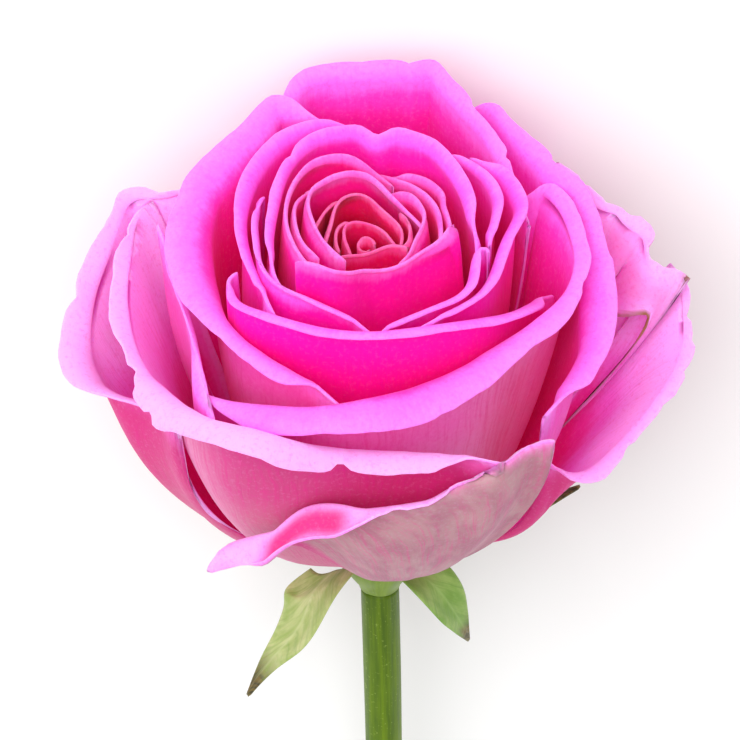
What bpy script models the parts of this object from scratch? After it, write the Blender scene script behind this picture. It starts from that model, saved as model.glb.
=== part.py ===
# A cut rose: one bloom on a short stem, laid down so that it rests on its
# back petals and on the cut end of the stem.
#
# The rose is modelled upright in its own frame: origin at the top of the
# receptacle, +Z along the stem towards the bloom, -Y the side that is seen
# from the front. An empty then lays it down along +Y.
#
# Petals are thin curved sheets lofted from a narrow claw on the receptacle,
# through a cup-shaped belly, to a rim whose lip rolls outwards. They are laid
# on one by one from the heart outwards, each one outside all those before it.
# Lengths in this file are millimetres until the objects are made.

import math

import bmesh
import bpy
import numpy as np
from mathutils import Matrix, Vector
from mathutils.bvhtree import BVHTree

# ---- driving dimensions (mm) ----
PETAL_THICK = 0.40        # thickness of a petal
PETAL_GAP = 0.75          # middle of one petal to the middle of the next
SEPAL_THICK = 0.80
SEPAL_GAP = 1.00
STEM_LENGTH = 110.0       # below the receptacle
STEM_RADIUS_TOP = 3.0
STEM_RADIUS_END = 2.7
RECEPTACLE_DOME = 5.2     # radius of the dome that carries the claws
RECEPTACLE_WIDE = 6.0     # widest radius of the hip
RECEPTACLE_FOOT = -11.6   # height of its lower end
PRESS_DEPTH = 1.8         # how far the back petals bend where they rest
PRESS_SOFT = 4.0          # height over which that bend fades out

# ---- sighting frame ----
# Rim stations are given as they are sighted from the front, 40 degrees above
# level and 1 m away: across and down in units of 1/6.56 mm, and the height of
# the station above the receptacle in mm. Stations marked 'p' are plain polar
# ones: azimuth in degrees, distance from the axis, height.
VIEW_UP = math.radians(40.0)
VIEW_FAR = 1000.0
UNIT = 6.56
MIDDLE = (370.0, 370.0)
AIM = np.array([-1.5, 2.2, 30.0])
AXIS_LEAN = np.array([-0.05, 0.0])   # the bud leans a little to the left

PETALS = [
    dict(name='heart_1', rim=[(371,249,56.5),(363,251,56.5),(358,246,57),(360,240,57.3),(366,236.5,57.3),(372,239,57),(375,245,56.8)],
         lipr=.3, roll=30, lean=0, base=(0.9,6.6)),
    dict(name='heart_2', rim=[(352,255,56.5),(346,245,57.5),(343,232,58.2),(346,224,58.6),(352,221,58.8),(361,221,58.8),(373,224,58.6),(384,230,58.2),(391,238,57.7),(396,246,57.2)],
         lipr=.4, roll=50, base=(1.6,6.4)),
    dict(name='heart_3', rim=[(340,253,56.8),(336,245,57.3),(335,236,57.8),(339,229,58.2),(347,226,58.4)],
         lipr=.3, roll=30, base=(2.0,6.2)),
    dict(name='heart_4', rim=[(322,252,57.5),(326,238,58.3),(330,225,59),(333,212,59.6),(338,203,60),(347,196,60.2),(358,194,60.3),(369,198,60.2),(380,209,59.8),(391,219,59.3),(399,228,58.7),(400,238,58),(397,246,57.4)],
         lipr=.5, roll=55, base=(2.4,6.0)),
    dict(name='heart_5', rim=[(400,245,57.6),(407,238,58),(409,228,58.6),(404,221,59),(396,216,59.2)],
         lipr=.3, roll=25, base=(2.8,5.9)),
    dict(name='heart_6', rim=[(334,208,60.2),(325,213,60),(317,222,59.6),(311,233,59),(314,245,58.4),(322,255,57.8),(332,260,57.5),(342,257,57.3),(356,256,57.2),(372,254,57.2),(386,250,57.3),(400,246,57.6),(417,246,58)],
         lipr=.6, roll=70, base=(3.0,5.7)),
    dict(name='inner_1', rim=[(326,256,58.2),(313,244,59),(305,230,59.8),(302,215,60.4),(303,200,61),(310,187,61.5),(321,180,61.8),(335,173,62.2),(350,170.5,62.3),(365,173,62.2),(379,181,61.8),(392,194,61.3),(405,209,60.6),(416,222,60),(422,233,59.5)],
         lipr=.9, roll=75, base=(3.4,5.4)),
    dict(name='inner_2', rim=[(392,206,60.8),(402,203,61),(412,201,61),(421,203,61),(427,210,60.7),(429,219,60.3),(425,230,59.8),(419,241,59.3),(413,253,58.7),(404,262,58.3),(393,269,58)],
         lipr=1.0, roll=80, gap=.95, base=(3.7,5.2)),
    dict(name='inner_3', rim=[(312,248,59),(303,241,59.5),(296,231,60.2),(292,219,60.8),(293,208,61.2),(299,202,61.4),(308,198,61.5)],
         lipr=.9, roll=80, base=(4.0,5.0)),
    dict(name='inner_4', rim=[(312,268,58),(301,261,58.5),(293,249,59.3),(288,233,60.2),(285,216,61),(286,200,61.7),(291,184,62.3),(300,170,62.8),(313,160,63.2),(330,155.5,63.3),(346,156,63.3),(360,161,63.2),(374,170,62.8),(388,178,62.3),(398,186,61.8)],
         lipr=1.1, roll=85, gap=.9, base=(4.3,4.7)),
    dict(name='inner_5', rim=[(366,182,62),(378,179.5,62.3),(391,179,62.4),(404,182,62.3),(418,188,62),(430,198,61.4),(438,211,60.7),(441,225,60.1),(440,240,59.4),(436,246,59.2)],
         lipr=1.1, roll=85, base=(4.5,4.4)),
    dict(name='inner_6', rim=[(402,186,62.3),(414,184,62.4),(427,185,62.2),(438,191,61.8),(444,201,61.2),(442,210,60.8),(445,221,60.2),(443,233,59.7),(438,243,59.3)],
         lipr=1.2, roll=85, base=(4.7,4.1)),
    dict(name='inner_7', rim=[(279,257,59.5),(291,259,59.2),(303,264,58.8),(316,269,58.5),(331,271.5,58.3),(347,272.5,58.2),(363,271,58.2),(378,271,58.2),(394,269,58.3),(407,264,58.5),(420,256,58.8),(433,248,59.2),(445,240,59.7),(452,232,60.3),(457,221,61)],
         lipr=.9, roll=75, base=(4.9,3.8), round=(.12,.10,.9,.8)),
    dict(name='middle_1', rim=[(277,282,59),(267,266,59.3),(262,249,59.8),(261,231,60.4),(264,212,61),(269,192,61.6),(276,172,62.2),(287,154,62.7),(303,139,63.1),(322,130,63.3),(344,126.5,63.3),(362,127.5,63),(377,136,62.4),(392,130.5,63),(411,132,63.2),(430,138,63.1),(446,149,62.8),(459,164,62.3),(471,184,61.7),(478,206,61),(481,228,60.3),(481,250,59.5)],
         lipr=1.9, roll=95, base=(5.2,3.4)),
    dict(name='middle_2', rim=[(493,250,60.2),(490,246,60.2),(486,256,59.7),(483,268,59.2),(477,284,58.7),(462,298,58.3),(442,307,58),(422,315,57.8),(402,323,57.6),(386,330,57.4),(376,334,57.2)],
         lipr=1.6, roll=95, base=(5.4,3.0)),
    dict(name='middle_3', rim=[(262,196,61.6),(254,207,61.2),(250,222,60.7),(252,240,60.1),(258,258,59.5),(268,274,59),(281,287,58.6),(298,297,58.3),(318,307,58),(338,316,57.7),(357,325,57.5),(372,331,57.3)],
         lipr=1.6, roll=95, base=(5.6,2.6)),
    dict(name='middle_4', rim=[(447,153,62.6),(460,154.5,62.6),(474,160,62.4),(488,169,62),(498,181,61.5),(504,196,61),(503,212,60.5),(498,228,60),(490,243,59.5)],
         lipr=1.6, roll=90, base=(5.8,2.2)),
    dict(name='middle_5', rim=[(370,127,62.5),(346,124,63),(322,121,63.2),(298,125,63),(276,136,62.6),(259,152,62.1),(247,170,61.5),(239,190,60.9),(235,210,60.3),(236,232,59.7),(241,252,59.1),(249,272,58.5),(259,291,58),(270,306,57.5)],
         lipr=2.0, roll=100, gap=1.0, base=(6.0,1.8)),
    dict(name='middle_6', rim=[(470,161,62.6),(486,166.5,62.4),(501,172,62.2),(513,181,61.8),(522,193,61.3),(526,206,60.8),(521,221,60.2),(513,238,59.6),(506,258,59),(498,277,58.5),(484,294,58),(464,306,57.6),(442,316,57.2),(420,324,57)],
         lipr=1.8, roll=95, gap=1.0, base=(6.2,1.4)),
    dict(name='middle_7', rim=[(236,258,57.8),(224,270,57.3),(226,286,57),(238,300,56.8),(256,309,56.6),(276,317,56.4),(300,325,56.3),(325,331,56.2),(352,334,56.2),(380,334.5,56.2),(408,332,56.2),(436,328,56.4),(464,324,56.4),(494,320,55.6),(520,314,53.6),(540,303,51),(556,290,48.5)],
         lipr=2.0, roll=120, base=(6.4,1.0)),
    dict(name='outer_left', rim=[(338,121,61.5),(315,113,62.5),(292,98,63.5),(272,96,63.5),(252,118,63),(233,139,62.3),(215,157,61.5),(198,174,60.5),(187,195,59.3),(181,220,58),(180,246,56.7),(185,272,55.5),(196,297,54.4),(213,320,53.4),(236,341,52.6),(262,360,52),(290,377,51.5),(320,393,50.4),(345,405,49.8)],
         lipr=[(0,3),(.3,4),(.6,5),(.8,3),(1,2.2)], roll=[(0,80),(.3,110),(.6,120),(1,130)], base=(6.5,.7)),
    dict(name='outer_back', rim=[(272,128,60),(280,103,62),(288,84,63.5),(300,71,64.2),(318,64,64.6),(350,61.5,64.8),(385,62,64.8),(412,62,64.7),(436,61,64.5),(449,74,63.9),(462,88,63.2),(476,103,62.5),(494,124,61.5),(509,149,60.3),(519,174,59.3),(527,197,58.5),(531,220,57.5)],
         lipr=2.5, roll=85, base=(6.5,.4)),
    dict(name='outer_front', rim=[(518,206,55),(532,198,56.6),(548,188,58),(566,194,58.6),(580,211,57.8),(590,234,56.8),(594,260,55.6),(586,285,54.6),(570,305,53.8),(549,322,53),(524,340,52.3),(497,357,51.7),(468,373,51.3),(436,387,51),(400,399,50.7),(360,407,50.5),(320,411,50.4),(280,411,50.4),(245,407,49.8),(215,401,48.6),(196,392,48)],
         lipr=[(0,2),(.15,3.6),(.3,4.2),(.6,4.2),(.85,3.2),(1,.7)], roll=[(0,80),(.25,92),(.42,118),(.6,150),(1,150)], lean=[(0,20),(.15,38),(.3,40),(.5,16),(.7,6),(1,6)], neck=[(0,16),(.3,15),(.5,19),(1,20)], gap=.95, fade=.05, base=(6.6,.1), round=(.08,.12,.95,.9)),
    dict(name='outer_right', rim=[(452,122,56),(466,110,57.6),(482,103,58.8),(499,106,59.6),(514,120,59.6),(531,136,59.3),(548,153,58.8),(564,169,58.4),(580,181,57.7),(592,200,56.6),(600,225,55.2),(605,255,53.3),(607,285,51.2),(607,315,49),(602,345,46.8),(590,366,45.2),(575,386,43.8),(560,402,42.6),(545,416,41.5)],
         lipr=[(0,2),(.4,3),(.7,4),(1,2.5)], roll=[(0,85),(.4,95),(1,110)], base=(6.6,-.2)),
    dict(name='outer_left_2', rim=[(160,222,56.5),(167,248,55.3),(173,274,54),(179,300,52.8),(185,326,51.5),(191,352,50),(199,378,48.5),(207,402,47),(216,424,45.5)],
         lipr=1.2, roll=85, gap=1.5, base=(6.6,-.4)),
    dict(name='guard_front', rim=[(150,197,52.5),(132,212,51.6),(119,235,50.6),(112,262,49.6),(108,290,48.6),(110,318,47.6),(117,346,46.7),(130,372,46),(150,393,45.5),(178,409,46.2),(210,421,46.6),(245,432,46.2),(285,443,45.4),(325,451,44.6),(365,456,44.5),(405,459,44.5),(445,460,44.4),(480,460,44.2),(508,462,43.8)],
         lipr=[(0,3.2),(.3,3.8),(.42,4.2),(.52,4.8),(.66,4.6),(.8,3.2),(1,2)], roll=[(0,80),(.3,92),(.5,135),(1,140)], lean=[(0,36),(.3,34),(.5,12),(.7,4),(1,4)], neck=[(0,15),(.35,16),(.55,20),(1,20)], base=(6.6,-.6)),
    dict(name='guard_left', rim=[(200,172,56),(178,183,55.3),(152,187,54.6),(133,186,54),(117,192,53),(103,212,51.5),(91,236,49.8),(79,262,47.8),(69,290,45.6),(64,318,43.3),(65,345,41),(72,368,39.8),(85,386,39.4),(103,396,39.4),(122,401,39.8),(142,406,40.4),(162,415,41),(184,427,41.6)],
         lipr=[(0,3),(.4,4.5),(.65,4.5),(.8,3),(1,1.2)], roll=[(0,75),(.45,92),(.68,118),(1,80)], lean=[(0,30),(.35,36),(.65,22),(.8,4),(1,0)], neck=[(0,14),(.5,16),(.75,20),(1,22)], belly=[(0,16),(.6,15),(1,15)], rise=[(0,22),(.6,20),(1,20)], gap=1.0, base=(6.6,-.8)),
    dict(name='guard_low', rim=[(214,556,25.5),(224,546,26.5),(240,539,28),(258,535,30),(274,531,31.8),(288,521,33.6),(302,511,35.3),(320,506,36.6),(342,508,37.6),(365,513,38),(388,512,38.3),(412,507,38.6),(432,502,38.9),(450,492,39.4),(474,481,40.3),(496,469,41.5),(517,453,42.8),(538,443,44),(556,441,45)],
         lipr=[(0,2.2),(.2,2.4),(.3,2.6),(.45,1.6),(.6,1.0),(1,.8)], roll=[(0,140),(.2,130),(.35,120),(1,90)], base=(6.6,-1.0), neck=[(0,3),(.18,5),(.4,15),(.7,19),(1,18)], belly=[(0,8),(.2,9),(.45,14),(1,14)], rise=[(0,42),(.2,36),(.45,20),(1,18)], round=(.06,.06,1.5,1.2),
         trim=([(0,.30),(.5,.29),(.75,.24),(.9,.16),(1,0)], [(0,1),(1,1)])),
    dict(name='guard_right', rim=[(560,160,56),(577,174,55.8),(595,190,55.3),(613,199,54.6),(626,204,54),(638,217,53),(652,228,52),(656,248,50.6),(661,268,49),(674,273,48),(689,279,47)],
         lipr=[(0,3),(.5,3.5),(1,2)], roll=[(0,75),(.5,80),(1,80)], lean=[(0,28),(.5,40),(1,46)], neck=[(0,16),(1,13)], base=(6.6,-1.1),
         trim=([(0,0),(1,0)], [(0,.56),(.5,.64),(.78,.80),(.9,.92),(1,1)])),
    dict(name='guard_right_2', rim=[(672,262,46),(686,280,44.6),(691,305,42.6),(693,332,40.3),(688,360,38),(674,388,35.6),(657,413,33.4),(638,437,31.4),(617,459,29.6),(596,474,28.2),(572,477,27.3),(552,468,27),(538,455,27.5)],
         lipr=[(0,2.5),(.5,3.2),(.8,3.4),(1,2)], roll=[(0,75),(.5,85),(.78,112),(1,90)], lean=[(0,48),(.5,50),(.75,36),(1,8)], neck=[(0,13),(.5,14),(1,18)], base=(6.6,-1.2)),
    dict(name='guard_back_left', rim=[('p',180,40,40),('p',168,41.5,41),('p',153,42,40.6),('p',138,42,39.4),('p',124,42.4,38.4),('p',111,42,37.6),('p',100,41,37)],
         lipr=4, roll=100, base=(6.6,-1.2), round=(.28,.28,.7,.7)),
    dict(name='guard_back', rim=[('p',132,41,39),('p',120,42,40.5),('p',106,40.8,41.5),('p',91,40.2,42),('p',76,40.8,41.5),('p',62,42.5,40.5),('p',51,41.5,39)],
         lipr=4, roll=100, base=(6.6,-1.3), gap=1.25, round=(.28,.28,.7,.7)),
    dict(name='guard_back_right', rim=[('p',82,42.5,38.5),('p',70,44.5,39.5),('p',57,46.5,40.5),('p',44,46,41),('p',31,44.5,41),('p',18,43,40),('p',6,42,38.5)],
         lipr=4, roll=100, base=(6.6,-1.4), gap=1.25, round=(.28,.28,.7,.7)),
]


TO_EYE = np.array([0.0, -math.cos(VIEW_UP), math.sin(VIEW_UP)])
EYE = AIM + VIEW_FAR * TO_EYE
SIDE = np.array([1.0, 0.0, 0.0])
RISE = np.array([0.0, math.sin(VIEW_UP), math.cos(VIEW_UP)])

def sight(u, v, z):
    ray = -TO_EYE + (u - MIDDLE[0]) / (UNIT * VIEW_FAR) * SIDE + (MIDDLE[1] - v) / (UNIT * VIEW_FAR) * RISE
    return EYE + (z - EYE[2]) / ray[2] * ray

def axis_at(z):
    return AXIS_LEAN * np.asarray(z)[..., None] if np.ndim(z) else AXIS_LEAN * z


def station(c):
    if c[0] == 'p':
        a = math.radians(c[1])
        return axis_at(c[3])[0] + c[2] * math.cos(a), axis_at(c[3])[1] + c[2] * math.sin(a), c[3]
    return tuple(sight(*c))

def spline(t, y, q):
    t = np.asarray(t, float); y = np.asarray(y, float); n = len(t)
    if y.ndim == 1: y = y[:, None]
    if n == 2:
        k = ((q - t[0]) / (t[1] - t[0]))[:, None]
        return y[0] + (y[1] - y[0]) * k
    h = np.diff(t); A = np.zeros((n, n)); b = np.zeros((n, y.shape[1])); A[0, 0] = A[-1, -1] = 1
    for i in range(1, n - 1):
        A[i, i - 1] = h[i - 1]; A[i, i] = 2 * (h[i - 1] + h[i]); A[i, i + 1] = h[i]
        b[i] = 6 * ((y[i + 1] - y[i]) / h[i] - (y[i] - y[i - 1]) / h[i - 1])
    m = np.linalg.solve(A, b)
    j = np.clip(np.searchsorted(t, q, side='right') - 1, 0, n - 2)
    hh = h[j][:, None]; a = (t[j + 1] - q)[:, None]; c = (q - t[j])[:, None]
    return (m[j] * a**3 + m[j + 1] * c**3) / (6 * hh) + (y[j] / hh - m[j] * hh / 6) * a + (y[j + 1] / hh - m[j + 1] * hh / 6) * c

def ease(x):
    x = np.clip(x, 0, 1); return x * x * (3 - 2 * x)

def along(spec, name, default, s):
    v = spec.get(name, default)
    if isinstance(v, (int, float)): return np.full(len(s), float(v))
    v = np.array(v, float)
    k = np.interp(s, v[:, 0], np.arange(len(v)))
    i = np.clip(k.astype(int), 0, len(v) - 2); f = ease(k - i)
    return v[i, 1] * (1 - f) + v[i + 1, 1] * f

def petal(spec, s, t):
    """Mid-surface of a petal, with its sides trimmed back where the petal is narrower than its rim."""
    if 'trim' not in spec: return whole_petal(spec, s, t)
    q = np.linspace(0, 1, 501); W = whole_petal(spec, q, t)
    first, last = [np.array(e, float) for e in spec['trim']]
    lo = np.interp(t, first[:, 0], first[:, 1]); hi = np.interp(t, last[:, 0], last[:, 1])
    return np.stack([np.stack([np.interp(a + (b - a) * s, q, W[i, :, c]) for c in range(3)], 1)
                     for i, (a, b) in enumerate(zip(lo, hi))])

def whole_petal(spec, s, t):
    """Mid-surface (len(t), len(s), 3) in mm. t: 0 claw .. 1 start of lip .. 2 free edge."""
    pts = np.array([station(c) for c in spec['rim']])
    L = np.concatenate([[0], np.cumsum(np.linalg.norm(np.diff(pts, axis=0), axis=1))]); L /= L[-1]
    C = spline(L, pts, s)
    rel = C[:, :2] - axis_at(C[:, 2])
    az = np.unwrap(np.arctan2(rel[:, 1], rel[:, 0]))
    e = 1e-3
    T = (spline(L, pts, np.clip(s + e, 0, 1)) - spline(L, pts, np.clip(s - e, 0, 1)))[:, :2]
    T /= np.linalg.norm(T, axis=1)[:, None] + 1e-9
    N = np.stack([T[:, 1], -T[:, 0]], 1)
    rr = np.linalg.norm(rel, axis=1)
    radial = rel / (rr[:, None] + 1e-9)
    N *= np.sign((N * radial).sum(1).mean())
    mix = spec.get('nmix', 0.5)
    N = N * mix + radial * (1 - mix); N /= np.linalg.norm(N, axis=1)[:, None]
    rm = float(np.mean(rr)); o = min(max(rm / 42.0, 0.0), 1.15)
    lean = np.radians(along(spec, 'lean', -9 + 16 * o, s))
    roll = np.radians(along(spec, 'roll', 60.0, s))
    R = along(spec, 'lipr', 2.0, s)
    fade = spec.get('fade', 0.12)
    f = ease(np.minimum(s, 1 - s) / fade) if fade > 0 else np.ones(len(s))
    roll = lean + (roll - lean) * (0.3 + 0.7 * f); roll = np.maximum(roll, lean + 0.05)
    top = np.minimum(roll, math.pi / 2)
    out = R * (np.cos(lean) - np.cos(top)); up = R * (np.sin(top) - np.sin(lean))
    E = C.copy(); E[:, :2] -= N * out[:, None]; E[:, 2] -= up
    mid = spec.get('mid'); mid = math.radians(mid) if mid is not None else 0.5 * (az.min() + az.max())
    mid += 2 * math.pi * round((az.mean() - mid) / (2 * math.pi))
    span = az.max() - az.min() + 1e-6
    claw = spec.get('claw', min(0.4, math.radians(95) / span))
    ab = mid + (az - mid) * claw
    rb, zb = spec['base']
    a0 = np.radians(along(spec, 'rise', 80 - 60 * min(o, 1) ** 0.8, s))
    L0 = along(spec, 'belly', 12 + 4 * o, s); L1 = along(spec, 'neck', 24 - 4 * o, s)
    bx, by = axis_at(zb)
    B = np.stack([bx + rb * np.cos(ab), by + rb * np.sin(ab), np.full(len(s), zb)], 1)
    am = ab + (az - ab) * 0.65
    m = np.stack([np.cos(am), np.sin(am)], 1)
    P1 = B + np.concatenate([m * np.cos(a0)[:, None], np.sin(a0)[:, None]], 1) * L0[:, None]
    P2 = E - np.concatenate([N * np.sin(lean)[:, None], np.cos(lean)[:, None]], 1) * L1[:, None]
    # rounded shoulders: the free edge drops towards both sides
    a_l, a_r, e_l, e_r = spec.get('round', (.14, .14, .85, .85))
    top_t = np.full(len(s), 2.0)
    k = s < a_l; top_t[k] = e_l + (2 - e_l) * np.sqrt(np.maximum(1 - ((a_l - s[k]) / a_l)**2, 0))
    k = s > 1 - a_r; top_t[k] = e_r + (2 - e_r) * np.sqrt(np.maximum(1 - ((s[k] - 1 + a_r) / a_r)**2, 0))
    S = np.zeros((len(t), len(s), 3))
    for i, q0 in enumerate(t):
        q = (q0 * top_t / 2)[:, None]
        b = np.minimum(q, 1)
        body = (1 - b)**3 * B + 3 * (1 - b)**2 * b * P1 + 3 * (1 - b) * b * b * P2 + b**3 * E
        a = lean + (roll - lean) * np.maximum(q[:, 0] - 1, 0)
        body[:, :2] += N * (R * (np.cos(lean) - np.cos(a)))[:, None]; body[:, 2] += R * (np.sin(a) - np.sin(lean))
        S[i] = body
    return S

def outward(P):
    """Unit direction away from the bud's middle at each point."""
    a = axis_at(P[..., 2]); d = np.zeros_like(P)
    d[..., :2] = P[..., :2] - a
    r = np.linalg.norm(d[..., :2], axis=-1)
    d[..., :2] /= (r[..., None] + 1e-6)
    d[..., 2] = -1.1 * ease((11 - P[..., 2]) / 14) * ease(r / 9)
    return d / np.linalg.norm(d, axis=-1)[..., None]

def quads(nt, ns):
    return [(i * ns + j, i * ns + j + 1, (i + 1) * ns + j + 1, (i + 1) * ns + j) for i in range(nt - 1) for j in range(ns - 1)]

def tris(nt, ns):
    out = []
    for a, b, c, d in quads(nt, ns): out += [(a, b, c), (a, c, d)]
    return out

class Layer:
    def __init__(self, V):
        self.nt, self.ns = V.shape[:2]
        self.P = V.reshape(-1, 3).copy()
        self.T = np.array(tris(self.nt, self.ns))
        self.orient()
        self.lo = self.P.min(0); self.hi = self.P.max(0)
        self.S = self.P[samples(self.nt, self.ns)].mean(1)
    def orient(self):
        self.skin = None
        P, T = self.P, self.T
        n = np.cross(P[T[:, 1]] - P[T[:, 0]], P[T[:, 2]] - P[T[:, 0]])
        c = P[T].mean(1)
        k = self.nt * self.ns
        body = (T[:, 0] // self.ns) < self.nt - 3
        s = (n * outward(c)).sum(1)[body].sum()
        if s < 0: self.T = T[:, ::-1].copy()
        self.tree = BVHTree.FromPolygons([tuple(p) for p in self.P], [tuple(int(q) for q in t) for t in self.T], epsilon=0.0)
        n = np.cross(self.P[self.T[:, 1]] - self.P[self.T[:, 0]], self.P[self.T[:, 2]] - self.P[self.T[:, 0]])
        self.N = n / (np.linalg.norm(n, axis=1)[:, None] + 1e-12)
    def thick(self):
        """Tree of both faces of the sheet, a little further apart than it is thick."""
        if self.skin is None:
            vn = np.zeros_like(self.P)
            for k in range(3): np.add.at(vn, self.T[:, k], self.N)
            vn /= np.linalg.norm(vn, axis=1)[:, None] + 1e-9
            d = vn * (PETAL_THICK / 2 + 0.12)
            faces = [tuple(int(q) for q in f) for f in self.T]
            n = len(self.P)
            both = faces + [tuple(q + n for q in f) for f in faces]
            self.skin = BVHTree.FromPolygons([tuple(p) for p in self.P + d] + [tuple(p) for p in self.P - d], both, epsilon=0.0)
        return self.skin

def blur(D, times, wt=(0.25, 0.5, 0.25)):
    for _ in range(times):
        E = np.pad(D, 1, mode='edge')
        E = E[:-2] * wt[0] + E[1:-1] * wt[1] + E[2:] * wt[2]
        D = E[:, :-2] * wt[0] + E[:, 1:-1] * wt[1] + E[:, 2:] * wt[2]
    return D

def settle(V, inner, gap, rounds=14, soften=2):
    """Push sheet V outward until it lies `gap` outside every sheet in `inner`."""
    V = V.copy(); nt, ns = V.shape[:2]
    mine = samples(nt, ns)
    for _ in range(rounds):
        me = Layer(V); D = outward(V); need = np.zeros(nt * ns)
        lo = me.lo - 6; hi = me.hi + 6
        near = [L for L in inner if np.all(L.lo < hi) and np.all(L.hi > lo)]
        Pf = me.P[mine].mean(1); Df = outward(Pf)
        for L in near:
            take = np.where(np.all(Pf > L.lo - 12, 1) & np.all(Pf < L.hi + 12, 1))[0]
            for k in take:
                pv = Vector(Pf[k]); dv = Vector(Df[k]); push = 0.0
                hit, n, idx, dist = L.tree.ray_cast(pv - dv * 0.01, dv, 14.0)
                if hit is not None and L.N[idx] @ Df[k] > 0.12:
                    push = dist + gap
                loc, n, idx, dist = L.tree.find_nearest(pv, gap * 1.2)
                if loc is not None and dist < gap:
                    push = max(push, (gap - dist) / max(abs(L.N[idx] @ Df[k]), 0.45) + 0.02)
                if push > 0:
                    for q in mine[k]: need[q] = max(need[q], push)
            Q = L.S; take = np.where(np.all(Q > me.lo - 12, 1) & np.all(Q < me.hi + 12, 1))[0]
            E = outward(Q)
            for k in take:
                pv = Vector(Q[k]); dv = Vector(E[k])
                hit, n, idx, dist = me.tree.ray_cast(pv + dv * 0.01, -dv, 14.0)
                if hit is not None and me.N[idx] @ E[k] > 0.12:
                    for q in me.T[idx]: need[q] = max(need[q], dist + gap)
                loc, n, idx, dist = me.tree.find_nearest(pv, gap * 1.2)
                if loc is not None and dist < gap:
                    push = (gap - dist) / max(abs(me.N[idx] @ E[k]), 0.45) + 0.02
                    for q in me.T[idx]: need[q] = max(need[q], push)
        if need.max() < 1e-3:
            for L in near:
                for mine_t, _ in me.thick().overlap(L.thick()):
                    for q in me.T[mine_t % len(me.T)]: need[q] = 0.25
        need = need.reshape(nt, ns)
        if need.max() < 1e-3: break
        move = np.maximum(need * 0.9, blur(need, soften) * 0.9)
        V = V + D * move[..., None]
    return V


def samples(nt, ns):
    """Corners of a sheet and the middles of its edges, as pairs of corners."""
    out = [(k, k) for k in range(nt * ns)]
    for i in range(nt):
        for j in range(ns):
            k = i * ns + j
            if j < ns - 1: out.append((k, k + 1))
            if i < nt - 1: out.append((k, k + ns))
            if j < ns - 1 and i < nt - 1: out.append((k, k + ns + 1))
    return np.array(out)


SEPALS = [
    # spine stations (azimuth, radius, height) from base to tip, widest width
    dict(name='sepal_left', spine=[(222, 7.0, -2.6), (221, 12, -5.0), (220, 16, -11), (213, 20, -18), (210, 23.8, -24.5)], width=8.4),
    dict(name='sepal_front_right', spine=[(305, 7.0, -2.6), (314, 11.8, -4.4), (323, 14.3, -9.8), (336, 15.2, -18)], width=8.0),
    dict(name='sepal_right', spine=[(12, 7.0, -2.4), (10, 14, -2.0), (9, 22.5, 0.0), (9, 31.5, 4.2)], width=7.4),
    dict(name='sepal_back', spine=[(84, 7.0, -2.6), (84, 13, -5.0), (85, 17, -11), (86, 19, -19)], width=7.6),
    dict(name='sepal_back_left', spine=[(152, 7.0, -2.6), (151, 13, -4.2), (151, 19, -8), (152, 23.5, -15)], width=7.6),
]


def sepal(spec, s, t):
    """Mid-surface of a sepal, rows from the base to the tip."""
    st = np.array([(r * math.cos(math.radians(a)), r * math.sin(math.radians(a)), z) for a, r, z in spec['spine']])
    L = np.concatenate([[0], np.cumsum(np.linalg.norm(np.diff(st, axis=0), axis=1))]); L /= L[-1]
    C = spline(L, st, t)
    T = spline(L, st, np.clip(t + 0.01, 0, 1)) - spline(L, st, np.clip(t - 0.01, 0, 1))
    T /= np.linalg.norm(T, axis=1)[:, None]
    radial = C.copy(); radial[:, 2] = 0; radial /= np.linalg.norm(radial, axis=1)[:, None]
    side = np.cross(T, np.array([0, 0, 1.0]) + 0.0 * T)
    flat = np.stack([-radial[:, 1], radial[:, 0], np.zeros(len(t))], 1)
    side = flat - (flat * T).sum(1)[:, None] * T
    side /= np.linalg.norm(side, axis=1)[:, None]
    up = np.cross(side, T)
    half = spec['width'] / 2 * np.interp(t, [0, 0.12, 0.28, 0.5, 0.75, 0.92, 1.0], [0.78, 0.92, 1.0, 0.82, 0.46, 0.2, 0.07])
    x = (s - 0.5) * 2
    S = C[:, None, :] + side[:, None, :] * (half[:, None] * x[None, :])[..., None]
    cup = 0.22 * half[:, None] * (x[None, :] ** 2)
    return S + up[:, None, :] * cup[..., None] * np.sign((up[:, 2]).sum())


def rows_of(spec):
    pts = np.array([station(c) for c in spec['rim']])
    length = np.linalg.norm(np.diff(pts, axis=0), axis=1).sum()
    big = length > 30
    cols = int(min(max(round(length / 4.6) + 2, 6), 13))
    t = np.array([0, 0.17, 0.38, 0.62, 0.84, 1.0, 1.5, 2.0] if big else [0, 0.2, 0.45, 0.75, 1.0, 1.5, 2.0])
    return np.linspace(0, 1, cols), t


def press(P, lean, drop):
    """Bend what would pass below the resting plane; monotonic, so order is kept."""
    n = np.array([0.0, -math.cos(lean), math.sin(lean)])
    h = P @ n + drop
    k = np.minimum(h, PRESS_SOFT)
    h2 = np.where(h < PRESS_SOFT, PRESS_SOFT * np.exp((k - PRESS_SOFT) / PRESS_SOFT), h)
    return P + (h2 - h)[..., None] * n


def resting(sheets):
    """Lean of the resting plane, and its drop, in the rose's own frame."""
    P = np.concatenate([S.reshape(-1, 3) for S in sheets])
    foot = RECEPTACLE_FOOT - STEM_LENGTH
    lo, hi = math.radians(5.0), math.radians(25.0)
    for _ in range(40):
        a = (lo + hi) / 2
        drop = STEM_RADIUS_END * math.cos(a) - foot * math.sin(a)
        low = (-P[:, 1] * math.cos(a) + P[:, 2] * math.sin(a) + drop).min()
        if low < -PRESS_DEPTH: lo = a
        else: hi = a
    return a, drop


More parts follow.
